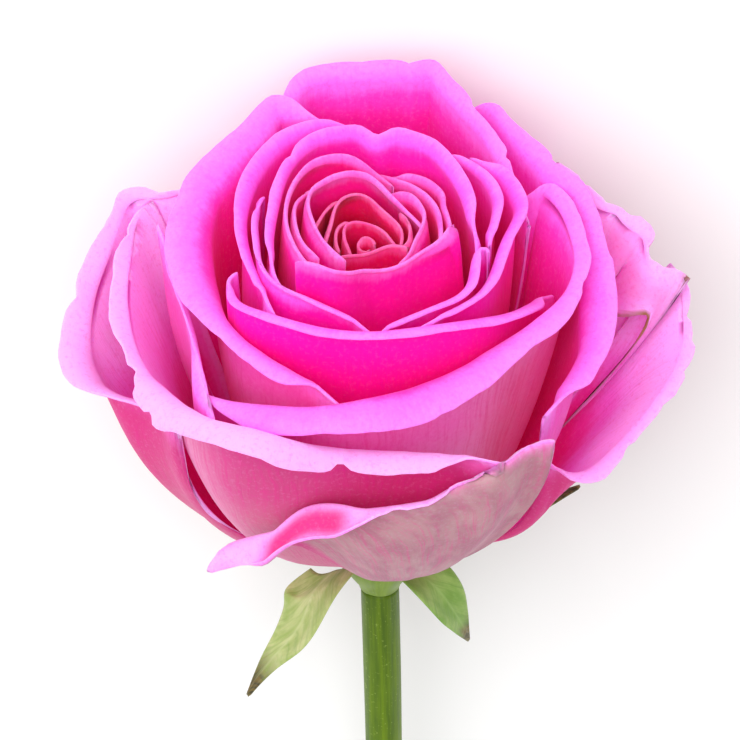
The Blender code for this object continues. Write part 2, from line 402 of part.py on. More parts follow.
def regrade(spec, s, t, V0, V):
    """Rim heights again, so that a rim pushed outward stays on its lines of sight."""
    pts = np.array([station(c) for c in spec['rim']])
    L = np.concatenate([[0], np.cumsum(np.linalg.norm(np.diff(pts, axis=0), axis=1))]); L /= L[-1]
    D = (V - V0)[np.abs(t - 1.3) < 0.4].mean(0)
    lift = -np.interp(L, s, D[:, 1]) * math.tan(VIEW_UP)
    draw = -np.interp(L, s, D[:, 0]) * UNIT * 0.6
    for _ in range(2):
        q = np.pad(lift, 1, mode='edge'); lift = q[:-2] * 0.25 + q[1:-1] * 0.5 + q[2:] * 0.25
        q = np.pad(draw, 1, mode='edge'); draw = q[:-2] * 0.25 + q[1:-1] * 0.5 + q[2:] * 0.25
    return dict(spec, rim=[c if c[0] == 'p' else (c[0] + g, c[1], c[2] + f) for c, f, g in zip(spec['rim'], lift, draw)])


def lay_on():
    """All petal sheets, heart first, each settled outside those before it."""
    sheets, flats, layers, specs = [], [], [], []
    for spec in PETALS:
        s, t = rows_of(spec)
        for _ in range(2):
            V0 = petal(spec, s, t)
            spec = regrade(spec, s, t, V0, settle(V0, layers, PETAL_GAP, rounds=5))
        V0 = petal(spec, s, t)
        V = settle(V0, layers, spec.get('gap', PETAL_GAP), rounds=30)
        layers.append(Layer(V)); sheets.append(V); flats.append(V0); specs.append(spec)
    leaves = []
    for spec in SEPALS:
        V = settle(sepal(spec, np.linspace(0, 1, 5), np.linspace(0, 1, 9)), layers, SEPAL_GAP)
        leaves.append(V)
    lean, drop = resting(sheets)
    return specs, flats, sheets, leaves, lean, drop


# ---- making the objects ----
def remove_everything():
    for ob in list(bpy.data.objects):
        bpy.data.objects.remove(ob, do_unlink=True)


def material(name, colour, roughness):
    m = bpy.data.materials.new(name)
    m.use_nodes = True
    b = m.node_tree.nodes['Principled BSDF']
    b.inputs['Base Color'].default_value = (*colour, 1)
    b.inputs['Roughness'].default_value = roughness
    b.inputs['Metallic'].default_value = 0.0
    return m


def sheet_object(name, S, thick, mat, frame, home):
    """A grid moved onto the sheet S (rows, columns, 3), thickened both ways."""
    rows, cols = S.shape[:2]
    at = Vector(S[0, cols // 2] / 1000)
    bm = bmesh.new()
    bmesh.ops.create_grid(bm, x_segments=cols - 1, y_segments=rows - 1, size=1.0)
    for v in bm.verts:
        j = round((v.co.x + 1) / 2 * (cols - 1)); i = round((v.co.y + 1) / 2 * (rows - 1))
        v.co = Vector(S[i, j] / 1000) - at
    me = bpy.data.meshes.new(name)
    bm.to_mesh(me); bm.free()
    me.shade_smooth()
    ob = bpy.data.objects.new(name, me)
    home.objects.link(ob)
    ob.location = at; ob.parent = frame
    mod = ob.modifiers.new('thickness', 'SOLIDIFY')
    mod.thickness = thick / 1000; mod.offset = 0; mod.use_even_offset = False
    me.materials.append(mat)
    return ob


def petal_colour(k):
    """Deep pink at the heart, a little paler outwards."""
    f = k / (len(PETALS) - 1)
    return (0.86 + 0.05 * f, 0.02 + 0.13 * f, 0.33 + 0.22 * f)


def lowest(frame, objects):
    bpy.context.view_layer.update()
    deps = bpy.context.evaluated_depsgraph_get()
    low = []
    for ob in objects:
        e = ob.evaluated_get(deps); me = e.to_mesh()
        low.append(min((e.matrix_world @ v.co).z for v in me.vertices))
        e.to_mesh_clear()
    return low


def main():
    remove_everything()
    home = bpy.data.collections.new('rose')
    bpy.context.scene.collection.children.link(home)
    frame = bpy.data.objects.new('rose_frame', None)
    home.objects.link(frame)

    specs, flats, sheets, leaves, lean, drop = lay_on()
    petals = []
    for k, (spec, S) in enumerate(zip(specs, sheets)):
        mat = material(spec['name'] + '_pink', petal_colour(k), 0.55)
        petals.append(sheet_object('petal_' + spec['name'], press(S, lean, drop), PETAL_THICK, mat, frame, home))
    for spec, S in zip(SEPALS, leaves):
        mat = material(spec['name'] + '_green', (0.33, 0.46, 0.14), 0.6)
        sheet_object(spec['name'], press(S, lean, drop), SEPAL_THICK, mat, frame, home)

    # receptacle: a turned hip with a dome on top that carries the claws
    dome = [(RECEPTACLE_DOME * math.sin(a), RECEPTACLE_DOME * math.cos(a)) for a in np.linspace(0, math.pi / 2, 7)]
    hip = dome + [(5.4, -1.6), (5.8, -3.4), (RECEPTACLE_WIDE, -5.0), (5.5, -7.0), (4.5, -9.0), (3.6, -10.5),
                  (3.2, RECEPTACLE_FOOT), (0.0, RECEPTACLE_FOOT)]
    me = bpy.data.meshes.new('receptacle')
    me.from_pydata([(r / 1000, 0, z / 1000) for r, z in hip], [(i, i + 1) for i in range(len(hip) - 1)], [])
    ob = bpy.data.objects.new('receptacle', me)
    home.objects.link(ob); ob.parent = frame
    screw = ob.modifiers.new('turn', 'SCREW')
    screw.axis = 'Z'; screw.angle = 2 * math.pi; screw.steps = 20; screw.render_steps = 20
    screw.use_merge_vertices = True; screw.merge_threshold = 0.00001; screw.use_smooth_shade = True
    screw.use_normal_calculate = True
    me.materials.append(material('receptacle_green', (0.30, 0.42, 0.10), 0.5))

    # stem: a tapering tube with a very slight bow, cut square at its end
    cu = bpy.data.curves.new('stem', 'CURVE')
    cu.dimensions = '3D'; cu.bevel_depth = 0.001; cu.bevel_resolution = 4; cu.use_fill_caps = True
    n = 12
    sp = cu.splines.new('POLY'); sp.points.add(n - 1)
    top = RECEPTACLE_FOOT - 0.35
    for i in range(n):
        f = i / (n - 1)
        z = top + (RECEPTACLE_FOOT - STEM_LENGTH - top) * f
        bow = 0.8 * math.sin(math.pi * f)
        sp.points[i].co = (bow / 1000, 0, z / 1000, 1)
        sp.points[i].radius = STEM_RADIUS_TOP + (STEM_RADIUS_END - STEM_RADIUS_TOP) * f
    ob = bpy.data.objects.new('stem', cu)
    home.objects.link(ob); ob.parent = frame
    cu.materials.append(material('stem_green', (0.20, 0.36, 0.02), 0.45))
    stem = ob

    # lay the rose down: lean until petals and stem end touch the same plane
    lo, hi = lean - math.radians(2.0), lean + math.radians(2.0)
    for _ in range(26):
        a = (lo + hi) / 2
        frame.rotation_euler = (a - math.pi / 2, 0, 0)
        low = lowest(frame, petals + [stem])
        if min(low[:-1]) < low[-1]: lo = a
        else: hi = a
    frame.location = (0, 0, 0)
    low = lowest(frame, [o for o in home.objects if o.type != 'EMPTY'])
    bpy.context.view_layer.update()
    deps = bpy.context.evaluated_depsgraph_get()
    pts = []
    for o in home.objects:
        if o.type == 'EMPTY': continue
        e = o.evaluated_get(deps); m = e.to_mesh()
        pts += [e.matrix_world @ v.co for v in m.vertices]
        e.to_mesh_clear()
    mid = [(min(p[i] for p in pts) + max(p[i] for p in pts)) / 2 for i in (0, 1)]
    frame.location = (-mid[0], -mid[1], -min(p.z for p in pts))
    bpy.context.view_layer.update()


main()
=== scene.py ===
# The looks of a cut rose that lies on its side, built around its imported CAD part.
# Petals, sepals, receptacle and stem are finely modelled in mesh code, each in
# the place of its CAD node, with procedural materials.
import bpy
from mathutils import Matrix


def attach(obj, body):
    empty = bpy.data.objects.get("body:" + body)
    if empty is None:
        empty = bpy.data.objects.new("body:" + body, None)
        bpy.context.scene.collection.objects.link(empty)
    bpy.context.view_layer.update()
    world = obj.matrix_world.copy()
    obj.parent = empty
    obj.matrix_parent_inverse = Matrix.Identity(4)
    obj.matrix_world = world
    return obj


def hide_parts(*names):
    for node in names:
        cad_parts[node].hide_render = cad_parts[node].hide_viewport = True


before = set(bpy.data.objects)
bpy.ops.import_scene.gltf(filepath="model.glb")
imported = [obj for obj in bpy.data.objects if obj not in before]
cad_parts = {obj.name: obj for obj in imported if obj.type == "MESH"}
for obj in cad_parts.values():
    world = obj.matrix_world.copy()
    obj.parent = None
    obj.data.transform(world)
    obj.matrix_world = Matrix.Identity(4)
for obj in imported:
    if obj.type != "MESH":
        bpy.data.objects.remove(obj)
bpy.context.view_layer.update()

import math

import bmesh
import bpy
import numpy as np
from mathutils import Matrix, Vector
from mathutils.bvhtree import BVHTree

# ---- driving dimensions (mm) ----
PETAL_THICK = 0.40        # thickness of a petal
PETAL_GAP = 0.75          # middle of one petal to the middle of the next
SEPAL_THICK = 0.80
SEPAL_GAP = 1.00
STEM_LENGTH = 110.0       # below the receptacle
STEM_RADIUS_TOP = 3.0
STEM_RADIUS_END = 2.7
RECEPTACLE_DOME = 5.2     # radius of the dome that carries the claws
RECEPTACLE_WIDE = 6.0     # widest radius of the hip
RECEPTACLE_FOOT = -11.6   # height of its lower end
PRESS_DEPTH = 1.8         # how far the back petals bend where they rest
PRESS_SOFT = 4.0          # height over which that bend fades out

# ---- sighting frame ----
# Rim stations are given as they are sighted from the front, 40 degrees above
# level and 1 m away: across and down in units of 1/6.56 mm, and the height of
# the station above the receptacle in mm. Stations marked 'p' are plain polar
# ones: azimuth in degrees, distance from the axis, height.
VIEW_UP = math.radians(40.0)
VIEW_FAR = 1000.0
UNIT = 6.56
MIDDLE = (370.0, 370.0)
AIM = np.array([-1.5, 2.2, 30.0])
AXIS_LEAN = np.array([-0.05, 0.0])   # the bud leans a little to the left

PETALS = [
    dict(name='heart_1', rim=[(371,249,56.5),(363,251,56.5),(358,246,57),(360,240,57.3),(366,236.5,57.3),(372,239,57),(375,245,56.8)],
         lipr=.3, roll=30, lean=0, base=(0.9,6.6)),
    dict(name='heart_2', rim=[(352,255,56.5),(346,245,57.5),(343,232,58.2),(346,224,58.6),(352,221,58.8),(361,221,58.8),(373,224,58.6),(384,230,58.2),(391,238,57.7),(396,246,57.2)],
         lipr=.4, roll=50, base=(1.6,6.4)),
    dict(name='heart_3', rim=[(340,253,56.8),(336,245,57.3),(335,236,57.8),(339,229,58.2),(347,226,58.4)],
         lipr=.3, roll=30, base=(2.0,6.2)),
    dict(name='heart_4', rim=[(322,252,57.5),(326,238,58.3),(330,225,59),(333,212,59.6),(338,203,60),(347,196,60.2),(358,194,60.3),(369,198,60.2),(380,209,59.8),(391,219,59.3),(399,228,58.7),(400,238,58),(397,246,57.4)],
         lipr=.5, roll=55, base=(2.4,6.0)),
    dict(name='heart_5', rim=[(400,245,57.6),(407,238,58),(409,228,58.6),(404,221,59),(396,216,59.2)],
         lipr=.3, roll=25, base=(2.8,5.9)),
    dict(name='heart_6', rim=[(334,208,60.2),(325,213,60),(317,222,59.6),(311,233,59),(314,245,58.4),(322,255,57.8),(332,260,57.5),(342,257,57.3),(356,256,57.2),(372,254,57.2),(386,250,57.3),(400,246,57.6),(417,246,58)],
         lipr=.6, roll=70, base=(3.0,5.7)),
    dict(name='inner_1', rim=[(326,256,58.2),(313,244,59),(305,230,59.8),(302,215,60.4),(303,200,61),(310,187,61.5),(321,180,61.8),(335,173,62.2),(350,170.5,62.3),(365,173,62.2),(379,181,61.8),(392,194,61.3),(405,209,60.6),(416,222,60),(422,233,59.5)],
         lipr=.9, roll=75, base=(3.4,5.4)),
    dict(name='inner_2', rim=[(392,206,60.8),(402,203,61),(412,201,61),(421,203,61),(427,210,60.7),(429,219,60.3),(425,230,59.8),(419,241,59.3),(413,253,58.7),(404,262,58.3),(393,269,58)],
         lipr=1.0, roll=80, gap=.95, base=(3.7,5.2)),
    dict(name='inner_3', rim=[(312,248,59),(303,241,59.5),(296,231,60.2),(292,219,60.8),(293,208,61.2),(299,202,61.4),(308,198,61.5)],
         lipr=.9, roll=80, base=(4.0,5.0)),
    dict(name='inner_4', rim=[(312,268,58),(301,261,58.5),(293,249,59.3),(288,233,60.2),(285,216,61),(286,200,61.7),(291,184,62.3),(300,170,62.8),(313,160,63.2),(330,155.5,63.3),(346,156,63.3),(360,161,63.2),(374,170,62.8),(388,178,62.3),(398,186,61.8)],
         lipr=1.1, roll=85, gap=.9, base=(4.3,4.7)),
    dict(name='inner_5', rim=[(366,182,62),(378,179.5,62.3),(391,179,62.4),(404,182,62.3),(418,188,62),(430,198,61.4),(438,211,60.7),(441,225,60.1),(440,240,59.4),(436,246,59.2)],
         lipr=1.1, roll=85, base=(4.5,4.4)),
    dict(name='inner_6', rim=[(402,186,62.3),(414,184,62.4),(427,185,62.2),(438,191,61.8),(444,201,61.2),(442,210,60.8),(445,221,60.2),(443,233,59.7),(438,243,59.3)],
         lipr=1.2, roll=85, base=(4.7,4.1)),
    dict(name='inner_7', rim=[(279,257,59.5),(291,259,59.2),(303,264,58.8),(316,269,58.5),(331,271.5,58.3),(347,272.5,58.2),(363,271,58.2),(378,271,58.2),(394,269,58.3),(407,264,58.5),(420,256,58.8),(433,248,59.2),(445,240,59.7),(452,232,60.3),(457,221,61)],
         lipr=.9, roll=75, base=(4.9,3.8), round=(.12,.10,.9,.8)),
    dict(name='middle_1', rim=[(277,282,59),(267,266,59.3),(262,249,59.8),(261,231,60.4),(264,212,61),(269,192,61.6),(276,172,62.2),(287,154,62.7),(303,139,63.1),(322,130,63.3),(344,126.5,63.3),(362,127.5,63),(377,136,62.4),(392,130.5,63),(411,132,63.2),(430,138,63.1),(446,149,62.8),(459,164,62.3),(471,184,61.7),(478,206,61),(481,228,60.3),(481,250,59.5)],
         lipr=1.9, roll=95, base=(5.2,3.4)),
    dict(name='middle_2', rim=[(493,250,60.2),(490,246,60.2),(486,256,59.7),(483,268,59.2),(477,284,58.7),(462,298,58.3),(442,307,58),(422,315,57.8),(402,323,57.6),(386,330,57.4),(376,334,57.2)],
         lipr=1.6, roll=95, base=(5.4,3.0)),
    dict(name='middle_3', rim=[(262,196,61.6),(254,207,61.2),(250,222,60.7),(252,240,60.1),(258,258,59.5),(268,274,59),(281,287,58.6),(298,297,58.3),(318,307,58),(338,316,57.7),(357,325,57.5),(372,331,57.3)],
         lipr=1.6, roll=95, base=(5.6,2.6)),
    dict(name='middle_4', rim=[(447,153,62.6),(460,154.5,62.6),(474,160,62.4),(488,169,62),(498,181,61.5),(504,196,61),(503,212,60.5),(498,228,60),(490,243,59.5)],
         lipr=1.6, roll=90, base=(5.8,2.2)),
    dict(name='middle_5', rim=[(370,127,62.5),(346,124,63),(322,121,63.2),(298,125,63),(276,136,62.6),(259,152,62.1),(247,170,61.5),(239,190,60.9),(235,210,60.3),(236,232,59.7),(241,252,59.1),(249,272,58.5),(259,291,58),(270,306,57.5)],
         lipr=2.0, roll=100, gap=1.0, base=(6.0,1.8)),
    dict(name='middle_6', rim=[(470,161,62.6),(486,166.5,62.4),(501,172,62.2),(513,181,61.8),(522,193,61.3),(526,206,60.8),(521,221,60.2),(513,238,59.6),(506,258,59),(498,277,58.5),(484,294,58),(464,306,57.6),(442,316,57.2),(420,324,57)],
         lipr=1.8, roll=95, gap=1.0, base=(6.2,1.4)),
    dict(name='middle_7', rim=[(236,258,57.8),(224,270,57.3),(226,286,57),(238,300,56.8),(256,309,56.6),(276,317,56.4),(300,325,56.3),(325,331,56.2),(352,334,56.2),(380,334.5,56.2),(408,332,56.2),(436,328,56.4),(464,324,56.4),(494,320,55.6),(520,314,53.6),(540,303,51),(556,290,48.5)],
         lipr=2.0, roll=120, base=(6.4,1.0)),
    dict(name='outer_left', rim=[(338,121,61.5),(315,113,62.5),(292,98,63.5),(272,96,63.5),(252,118,63),(233,139,62.3),(215,157,61.5),(198,174,60.5),(187,195,59.3),(181,220,58),(180,246,56.7),(185,272,55.5),(196,297,54.4),(213,320,53.4),(236,341,52.6),(262,360,52),(290,377,51.5),(320,393,50.4),(345,405,49.8)],
         lipr=[(0,3),(.3,4),(.6,5),(.8,3),(1,2.2)], roll=[(0,80),(.3,110),(.6,120),(1,130)], base=(6.5,.7)),
    dict(name='outer_back', rim=[(272,128,60),(280,103,62),(288,84,63.5),(300,71,64.2),(318,64,64.6),(350,61.5,64.8),(385,62,64.8),(412,62,64.7),(436,61,64.5),(449,74,63.9),(462,88,63.2),(476,103,62.5),(494,124,61.5),(509,149,60.3),(519,174,59.3),(527,197,58.5),(531,220,57.5)],
         lipr=2.5, roll=85, base=(6.5,.4)),
    dict(name='outer_front', rim=[(518,206,55),(532,198,56.6),(548,188,58),(566,194,58.6),(580,211,57.8),(590,234,56.8),(594,260,55.6),(586,285,54.6),(570,305,53.8),(549,322,53),(524,340,52.3),(497,357,51.7),(468,373,51.3),(436,387,51),(400,399,50.7),(360,407,50.5),(320,411,50.4),(280,411,50.4),(245,407,49.8),(215,401,48.6),(196,392,48)],
         lipr=[(0,2),(.15,3.6),(.3,4.2),(.6,4.2),(.85,3.2),(1,.7)], roll=[(0,80),(.25,92),(.42,118),(.6,150),(1,150)], lean=[(0,20),(.15,38),(.3,40),(.5,16),(.7,6),(1,6)], neck=[(0,16),(.3,15),(.5,19),(1,20)], gap=.95, fade=.05, base=(6.6,.1), round=(.08,.12,.95,.9)),
    dict(name='outer_right', rim=[(452,122,56),(466,110,57.6),(482,103,58.8),(499,106,59.6),(514,120,59.6),(531,136,59.3),(548,153,58.8),(564,169,58.4),(580,181,57.7),(592,200,56.6),(600,225,55.2),(605,255,53.3),(607,285,51.2),(607,315,49),(602,345,46.8),(590,366,45.2),(575,386,43.8),(560,402,42.6),(545,416,41.5)],
         lipr=[(0,2),(.4,3),(.7,4),(1,2.5)], roll=[(0,85),(.4,95),(1,110)], base=(6.6,-.2)),
    dict(name='outer_left_2', rim=[(160,222,56.5),(167,248,55.3),(173,274,54),(179,300,52.8),(185,326,51.5),(191,352,50),(199,378,48.5),(207,402,47),(216,424,45.5)],
         lipr=1.2, roll=85, gap=1.5, base=(6.6,-.4)),
    dict(name='guard_front', rim=[(150,197,52.5),(132,212,51.6),(119,235,50.6),(112,262,49.6),(108,290,48.6),(110,318,47.6),(117,346,46.7),(130,372,46),(150,393,45.5),(178,409,46.2),(210,421,46.6),(245,432,46.2),(285,443,45.4),(325,451,44.6),(365,456,44.5),(405,459,44.5),(445,460,44.4),(480,460,44.2),(508,462,43.8)],
         lipr=[(0,3.2),(.3,3.8),(.42,4.2),(.52,4.8),(.66,4.6),(.8,3.2),(1,2)], roll=[(0,80),(.3,92),(.5,135),(1,140)], lean=[(0,36),(.3,34),(.5,12),(.7,4),(1,4)], neck=[(0,15),(.35,16),(.55,20),(1,20)], base=(6.6,-.6)),
    dict(name='guard_left', rim=[(200,172,56),(178,183,55.3),(152,187,54.6),(133,186,54),(117,192,53),(103,212,51.5),(91,236,49.8),(79,262,47.8),(69,290,45.6),(64,318,43.3),(65,345,41),(72,368,39.8),(85,386,39.4),(103,396,39.4),(122,401,39.8),(142,406,40.4),(162,415,41),(184,427,41.6)],
         lipr=[(0,3),(.4,4.5),(.65,4.5),(.8,3),(1,1.2)], roll=[(0,75),(.45,92),(.68,118),(1,80)], lean=[(0,30),(.35,36),(.65,22),(.8,4),(1,0)], neck=[(0,14),(.5,16),(.75,20),(1,22)], belly=[(0,16),(.6,15),(1,15)], rise=[(0,22),(.6,20),(1,20)], gap=1.0, base=(6.6,-.8)),
    dict(name='guard_low', rim=[(214,556,25.5),(224,546,26.5),(240,539,28),(258,535,30),(274,531,31.8),(288,521,33.6),(302,511,35.3),(320,506,36.6),(342,508,37.6),(365,513,38),(388,512,38.3),(412,507,38.6),(432,502,38.9),(450,492,39.4),(474,481,40.3),(496,469,41.5),(517,453,42.8),(538,443,44),(556,441,45)],
         lipr=[(0,2.2),(.2,2.4),(.3,2.6),(.45,1.6),(.6,1.0),(1,.8)], roll=[(0,140),(.2,130),(.35,120),(1,90)], base=(6.6,-1.0), neck=[(0,3),(.18,5),(.4,15),(.7,19),(1,18)], belly=[(0,8),(.2,9),(.45,14),(1,14)], rise=[(0,42),(.2,36),(.45,20),(1,18)], round=(.06,.06,1.5,1.2),
         trim=([(0,.30),(.5,.29),(.75,.24),(.9,.16),(1,0)], [(0,1),(1,1)])),
    dict(name='guard_right', rim=[(560,160,56),(577,174,55.8),(595,190,55.3),(613,199,54.6),(626,204,54),(638,217,53),(652,228,52),(656,248,50.6),(661,268,49),(674,273,48),(689,279,47)],
         lipr=[(0,3),(.5,3.5),(1,2)], roll=[(0,75),(.5,80),(1,80)], lean=[(0,28),(.5,40),(1,46)], neck=[(0,16),(1,13)], base=(6.6,-1.1),
         trim=([(0,0),(1,0)], [(0,.56),(.5,.64),(.78,.80),(.9,.92),(1,1)])),
    dict(name='guard_right_2', rim=[(672,262,46),(686,280,44.6),(691,305,42.6),(693,332,40.3),(688,360,38),(674,388,35.6),(657,413,33.4),(638,437,31.4),(617,459,29.6),(596,474,28.2),(572,477,27.3),(552,468,27),(538,455,27.5)],
         lipr=[(0,2.5),(.5,3.2),(.8,3.4),(1,2)], roll=[(0,75),(.5,85),(.78,112),(1,90)], lean=[(0,48),(.5,50),(.75,36),(1,8)], neck=[(0,13),(.5,14),(1,18)], base=(6.6,-1.2)),
    dict(name='guard_back_left', rim=[('p',180,40,40),('p',168,41.5,41),('p',153,42,40.6),('p',138,42,39.4),('p',124,42.4,38.4),('p',111,42,37.6),('p',100,41,37)],
         lipr=4, roll=100, base=(6.6,-1.2), round=(.28,.28,.7,.7)),
    dict(name='guard_back', rim=[('p',132,41,39),('p',120,42,40.5),('p',106,40.8,41.5),('p',91,40.2,42),('p',76,40.8,41.5),('p',62,42.5,40.5),('p',51,41.5,39)],
         lipr=4, roll=100, base=(6.6,-1.3), gap=1.25, round=(.28,.28,.7,.7)),
    dict(name='guard_back_right', rim=[('p',82,42.5,38.5),('p',70,44.5,39.5),('p',57,46.5,40.5),('p',44,46,41),('p',31,44.5,41),('p',18,43,40),('p',6,42,38.5)],
         lipr=4, roll=100, base=(6.6,-1.4), gap=1.25, round=(.28,.28,.7,.7)),
]


TO_EYE = np.array([0.0, -math.cos(VIEW_UP), math.sin(VIEW_UP)])
EYE = AIM + VIEW_FAR * TO_EYE
SIDE = np.array([1.0, 0.0, 0.0])
RISE = np.array([0.0, math.sin(VIEW_UP), math.cos(VIEW_UP)])

def sight(u, v, z):
    ray = -TO_EYE + (u - MIDDLE[0]) / (UNIT * VIEW_FAR) * SIDE + (MIDDLE[1] - v) / (UNIT * VIEW_FAR) * RISE
    return EYE + (z - EYE[2]) / ray[2] * ray

def axis_at(z):
    return AXIS_LEAN * np.asarray(z)[..., None] if np.ndim(z) else AXIS_LEAN * z


def station(c):
    if c[0] == 'p':
        a = math.radians(c[1])
        return axis_at(c[3])[0] + c[2] * math.cos(a), axis_at(c[3])[1] + c[2] * math.sin(a), c[3]
    return tuple(sight(*c))

def spline(t, y, q):
    t = np.asarray(t, float); y = np.asarray(y, float); n = len(t)
    if y.ndim == 1: y = y[:, None]
    if n == 2:
        k = ((q - t[0]) / (t[1] - t[0]))[:, None]
        return y[0] + (y[1] - y[0]) * k
    h = np.diff(t); A = np.zeros((n, n)); b = np.zeros((n, y.shape[1])); A[0, 0] = A[-1, -1] = 1
    for i in range(1, n - 1):
        A[i, i - 1] = h[i - 1]; A[i, i] = 2 * (h[i - 1] + h[i]); A[i, i + 1] = h[i]
        b[i] = 6 * ((y[i + 1] - y[i]) / h[i] - (y[i] - y[i - 1]) / h[i - 1])
    m = np.linalg.solve(A, b)
    j = np.clip(np.searchsorted(t, q, side='right') - 1, 0, n - 2)
    hh = h[j][:, None]; a = (t[j + 1] - q)[:, None]; c = (q - t[j])[:, None]
    return (m[j] * a**3 + m[j + 1] * c**3) / (6 * hh) + (y[j] / hh - m[j] * hh / 6) * a + (y[j + 1] / hh - m[j + 1] * hh / 6) * c

def ease(x):
    x = np.clip(x, 0, 1); return x * x * (3 - 2 * x)

def along(spec, name, default, s):
    v = spec.get(name, default)
    if isinstance(v, (int, float)): return np.full(len(s), float(v))
    v = np.array(v, float)
    k = np.interp(s, v[:, 0], np.arange(len(v)))
    i = np.clip(k.astype(int), 0, len(v) - 2); f = ease(k - i)
    return v[i, 1] * (1 - f) + v[i + 1, 1] * f

def petal(spec, s, t):
    """Mid-surface of a petal, with its sides trimmed back where the petal is narrower than its rim."""
    if 'trim' not in spec: return whole_petal(spec, s, t)
    q = np.linspace(0, 1, 501); W = whole_petal(spec, q, t)
    first, last = [np.array(e, float) for e in spec['trim']]
    lo = np.interp(t, first[:, 0], first[:, 1]); hi = np.interp(t, last[:, 0], last[:, 1])
    return np.stack([np.stack([np.interp(a + (b - a) * s, q, W[i, :, c]) for c in range(3)], 1)
                     for i, (a, b) in enumerate(zip(lo, hi))])

def whole_petal(spec, s, t):
    """Mid-surface (len(t), len(s), 3) in mm. t: 0 claw .. 1 start of lip .. 2 free edge."""
    pts = np.array([station(c) for c in spec['rim']])
    L = np.concatenate([[0], np.cumsum(np.linalg.norm(np.diff(pts, axis=0), axis=1))]); L /= L[-1]
    C = spline(L, pts, s)
    rel = C[:, :2] - axis_at(C[:, 2])
    az = np.unwrap(np.arctan2(rel[:, 1], rel[:, 0]))
    e = 1e-3
    T = (spline(L, pts, np.clip(s + e, 0, 1)) - spline(L, pts, np.clip(s - e, 0, 1)))[:, :2]
    T /= np.linalg.norm(T, axis=1)[:, None] + 1e-9
    N = np.stack([T[:, 1], -T[:, 0]], 1)
    rr = np.linalg.norm(rel, axis=1)
    radial = rel / (rr[:, None] + 1e-9)
    N *= np.sign((N * radial).sum(1).mean())
    mix = spec.get('nmix', 0.5)
    N = N * mix + radial * (1 - mix); N /= np.linalg.norm(N, axis=1)[:, None]
    rm = float(np.mean(rr)); o = min(max(rm / 42.0, 0.0), 1.15)
    lean = np.radians(along(spec, 'lean', -9 + 16 * o, s))
    roll = np.radians(along(spec, 'roll', 60.0, s))
    R = along(spec, 'lipr', 2.0, s)
    fade = spec.get('fade', 0.12)
    f = ease(np.minimum(s, 1 - s) / fade) if fade > 0 else np.ones(len(s))
    roll = lean + (roll - lean) * (0.3 + 0.7 * f); roll = np.maximum(roll, lean + 0.05)
    top = np.minimum(roll, math.pi / 2)
    out = R * (np.cos(lean) - np.cos(top)); up = R * (np.sin(top) - np.sin(lean))
    E = C.copy(); E[:, :2] -= N * out[:, None]; E[:, 2] -= up
    mid = spec.get('mid'); mid = math.radians(mid) if mid is not None else 0.5 * (az.min() + az.max())
    mid += 2 * math.pi * round((az.mean() - mid) / (2 * math.pi))
    span = az.max() - az.min() + 1e-6
    claw = spec.get('claw', min(0.4, math.radians(95) / span))
    ab = mid + (az - mid) * claw
    rb, zb = spec['base']
    a0 = np.radians(along(spec, 'rise', 80 - 60 * min(o, 1) ** 0.8, s))
    L0 = along(spec, 'belly', 12 + 4 * o, s); L1 = along(spec, 'neck', 24 - 4 * o, s)
    bx, by = axis_at(zb)
    B = np.stack([bx + rb * np.cos(ab), by + rb * np.sin(ab), np.full(len(s), zb)], 1)
    am = ab + (az - ab) * 0.65
    m = np.stack([np.cos(am), np.sin(am)], 1)
    P1 = B + np.concatenate([m * np.cos(a0)[:, None], np.sin(a0)[:, None]], 1) * L0[:, None]
    P2 = E - np.concatenate([N * np.sin(lean)[:, None], np.cos(lean)[:, None]], 1) * L1[:, None]
    # rounded shoulders: the free edge drops towards both sides
    a_l, a_r, e_l, e_r = spec.get('round', (.14, .14, .85, .85))
    top_t = np.full(len(s), 2.0)
    k = s < a_l; top_t[k] = e_l + (2 - e_l) * np.sqrt(np.maximum(1 - ((a_l - s[k]) / a_l)**2, 0))
    k = s > 1 - a_r; top_t[k] = e_r + (2 - e_r) * np.sqrt(np.maximum(1 - ((s[k] - 1 + a_r) / a_r)**2, 0))
    S = np.zeros((len(t), len(s), 3))
    for i, q0 in enumerate(t):
        q = (q0 * top_t / 2)[:, None]
        b = np.minimum(q, 1)
        body = (1 - b)**3 * B + 3 * (1 - b)**2 * b * P1 + 3 * (1 - b) * b * b * P2 + b**3 * E
        a = lean + (roll - lean) * np.maximum(q[:, 0] - 1, 0)
        body[:, :2] += N * (R * (np.cos(lean) - np.cos(a)))[:, None]; body[:, 2] += R * (np.sin(a) - np.sin(lean))
        S[i] = body
    return S

def outward(P):
    """Unit direction away from the bud's middle at each point."""
    a = axis_at(P[..., 2]); d = np.zeros_like(P)
    d[..., :2] = P[..., :2] - a
    r = np.linalg.norm(d[..., :2], axis=-1)
    d[..., :2] /= (r[..., None] + 1e-6)
    d[..., 2] = -1.1 * ease((11 - P[..., 2]) / 14) * ease(r / 9)
    return d / np.linalg.norm(d, axis=-1)[..., None]

def quads(nt, ns):
    return [(i * ns + j, i * ns + j + 1, (i + 1) * ns + j + 1, (i + 1) * ns + j) for i in range(nt - 1) for j in range(ns - 1)]

def tris(nt, ns):
    out = []
    for a, b, c, d in quads(nt, ns): out += [(a, b, c), (a, c, d)]
    return out

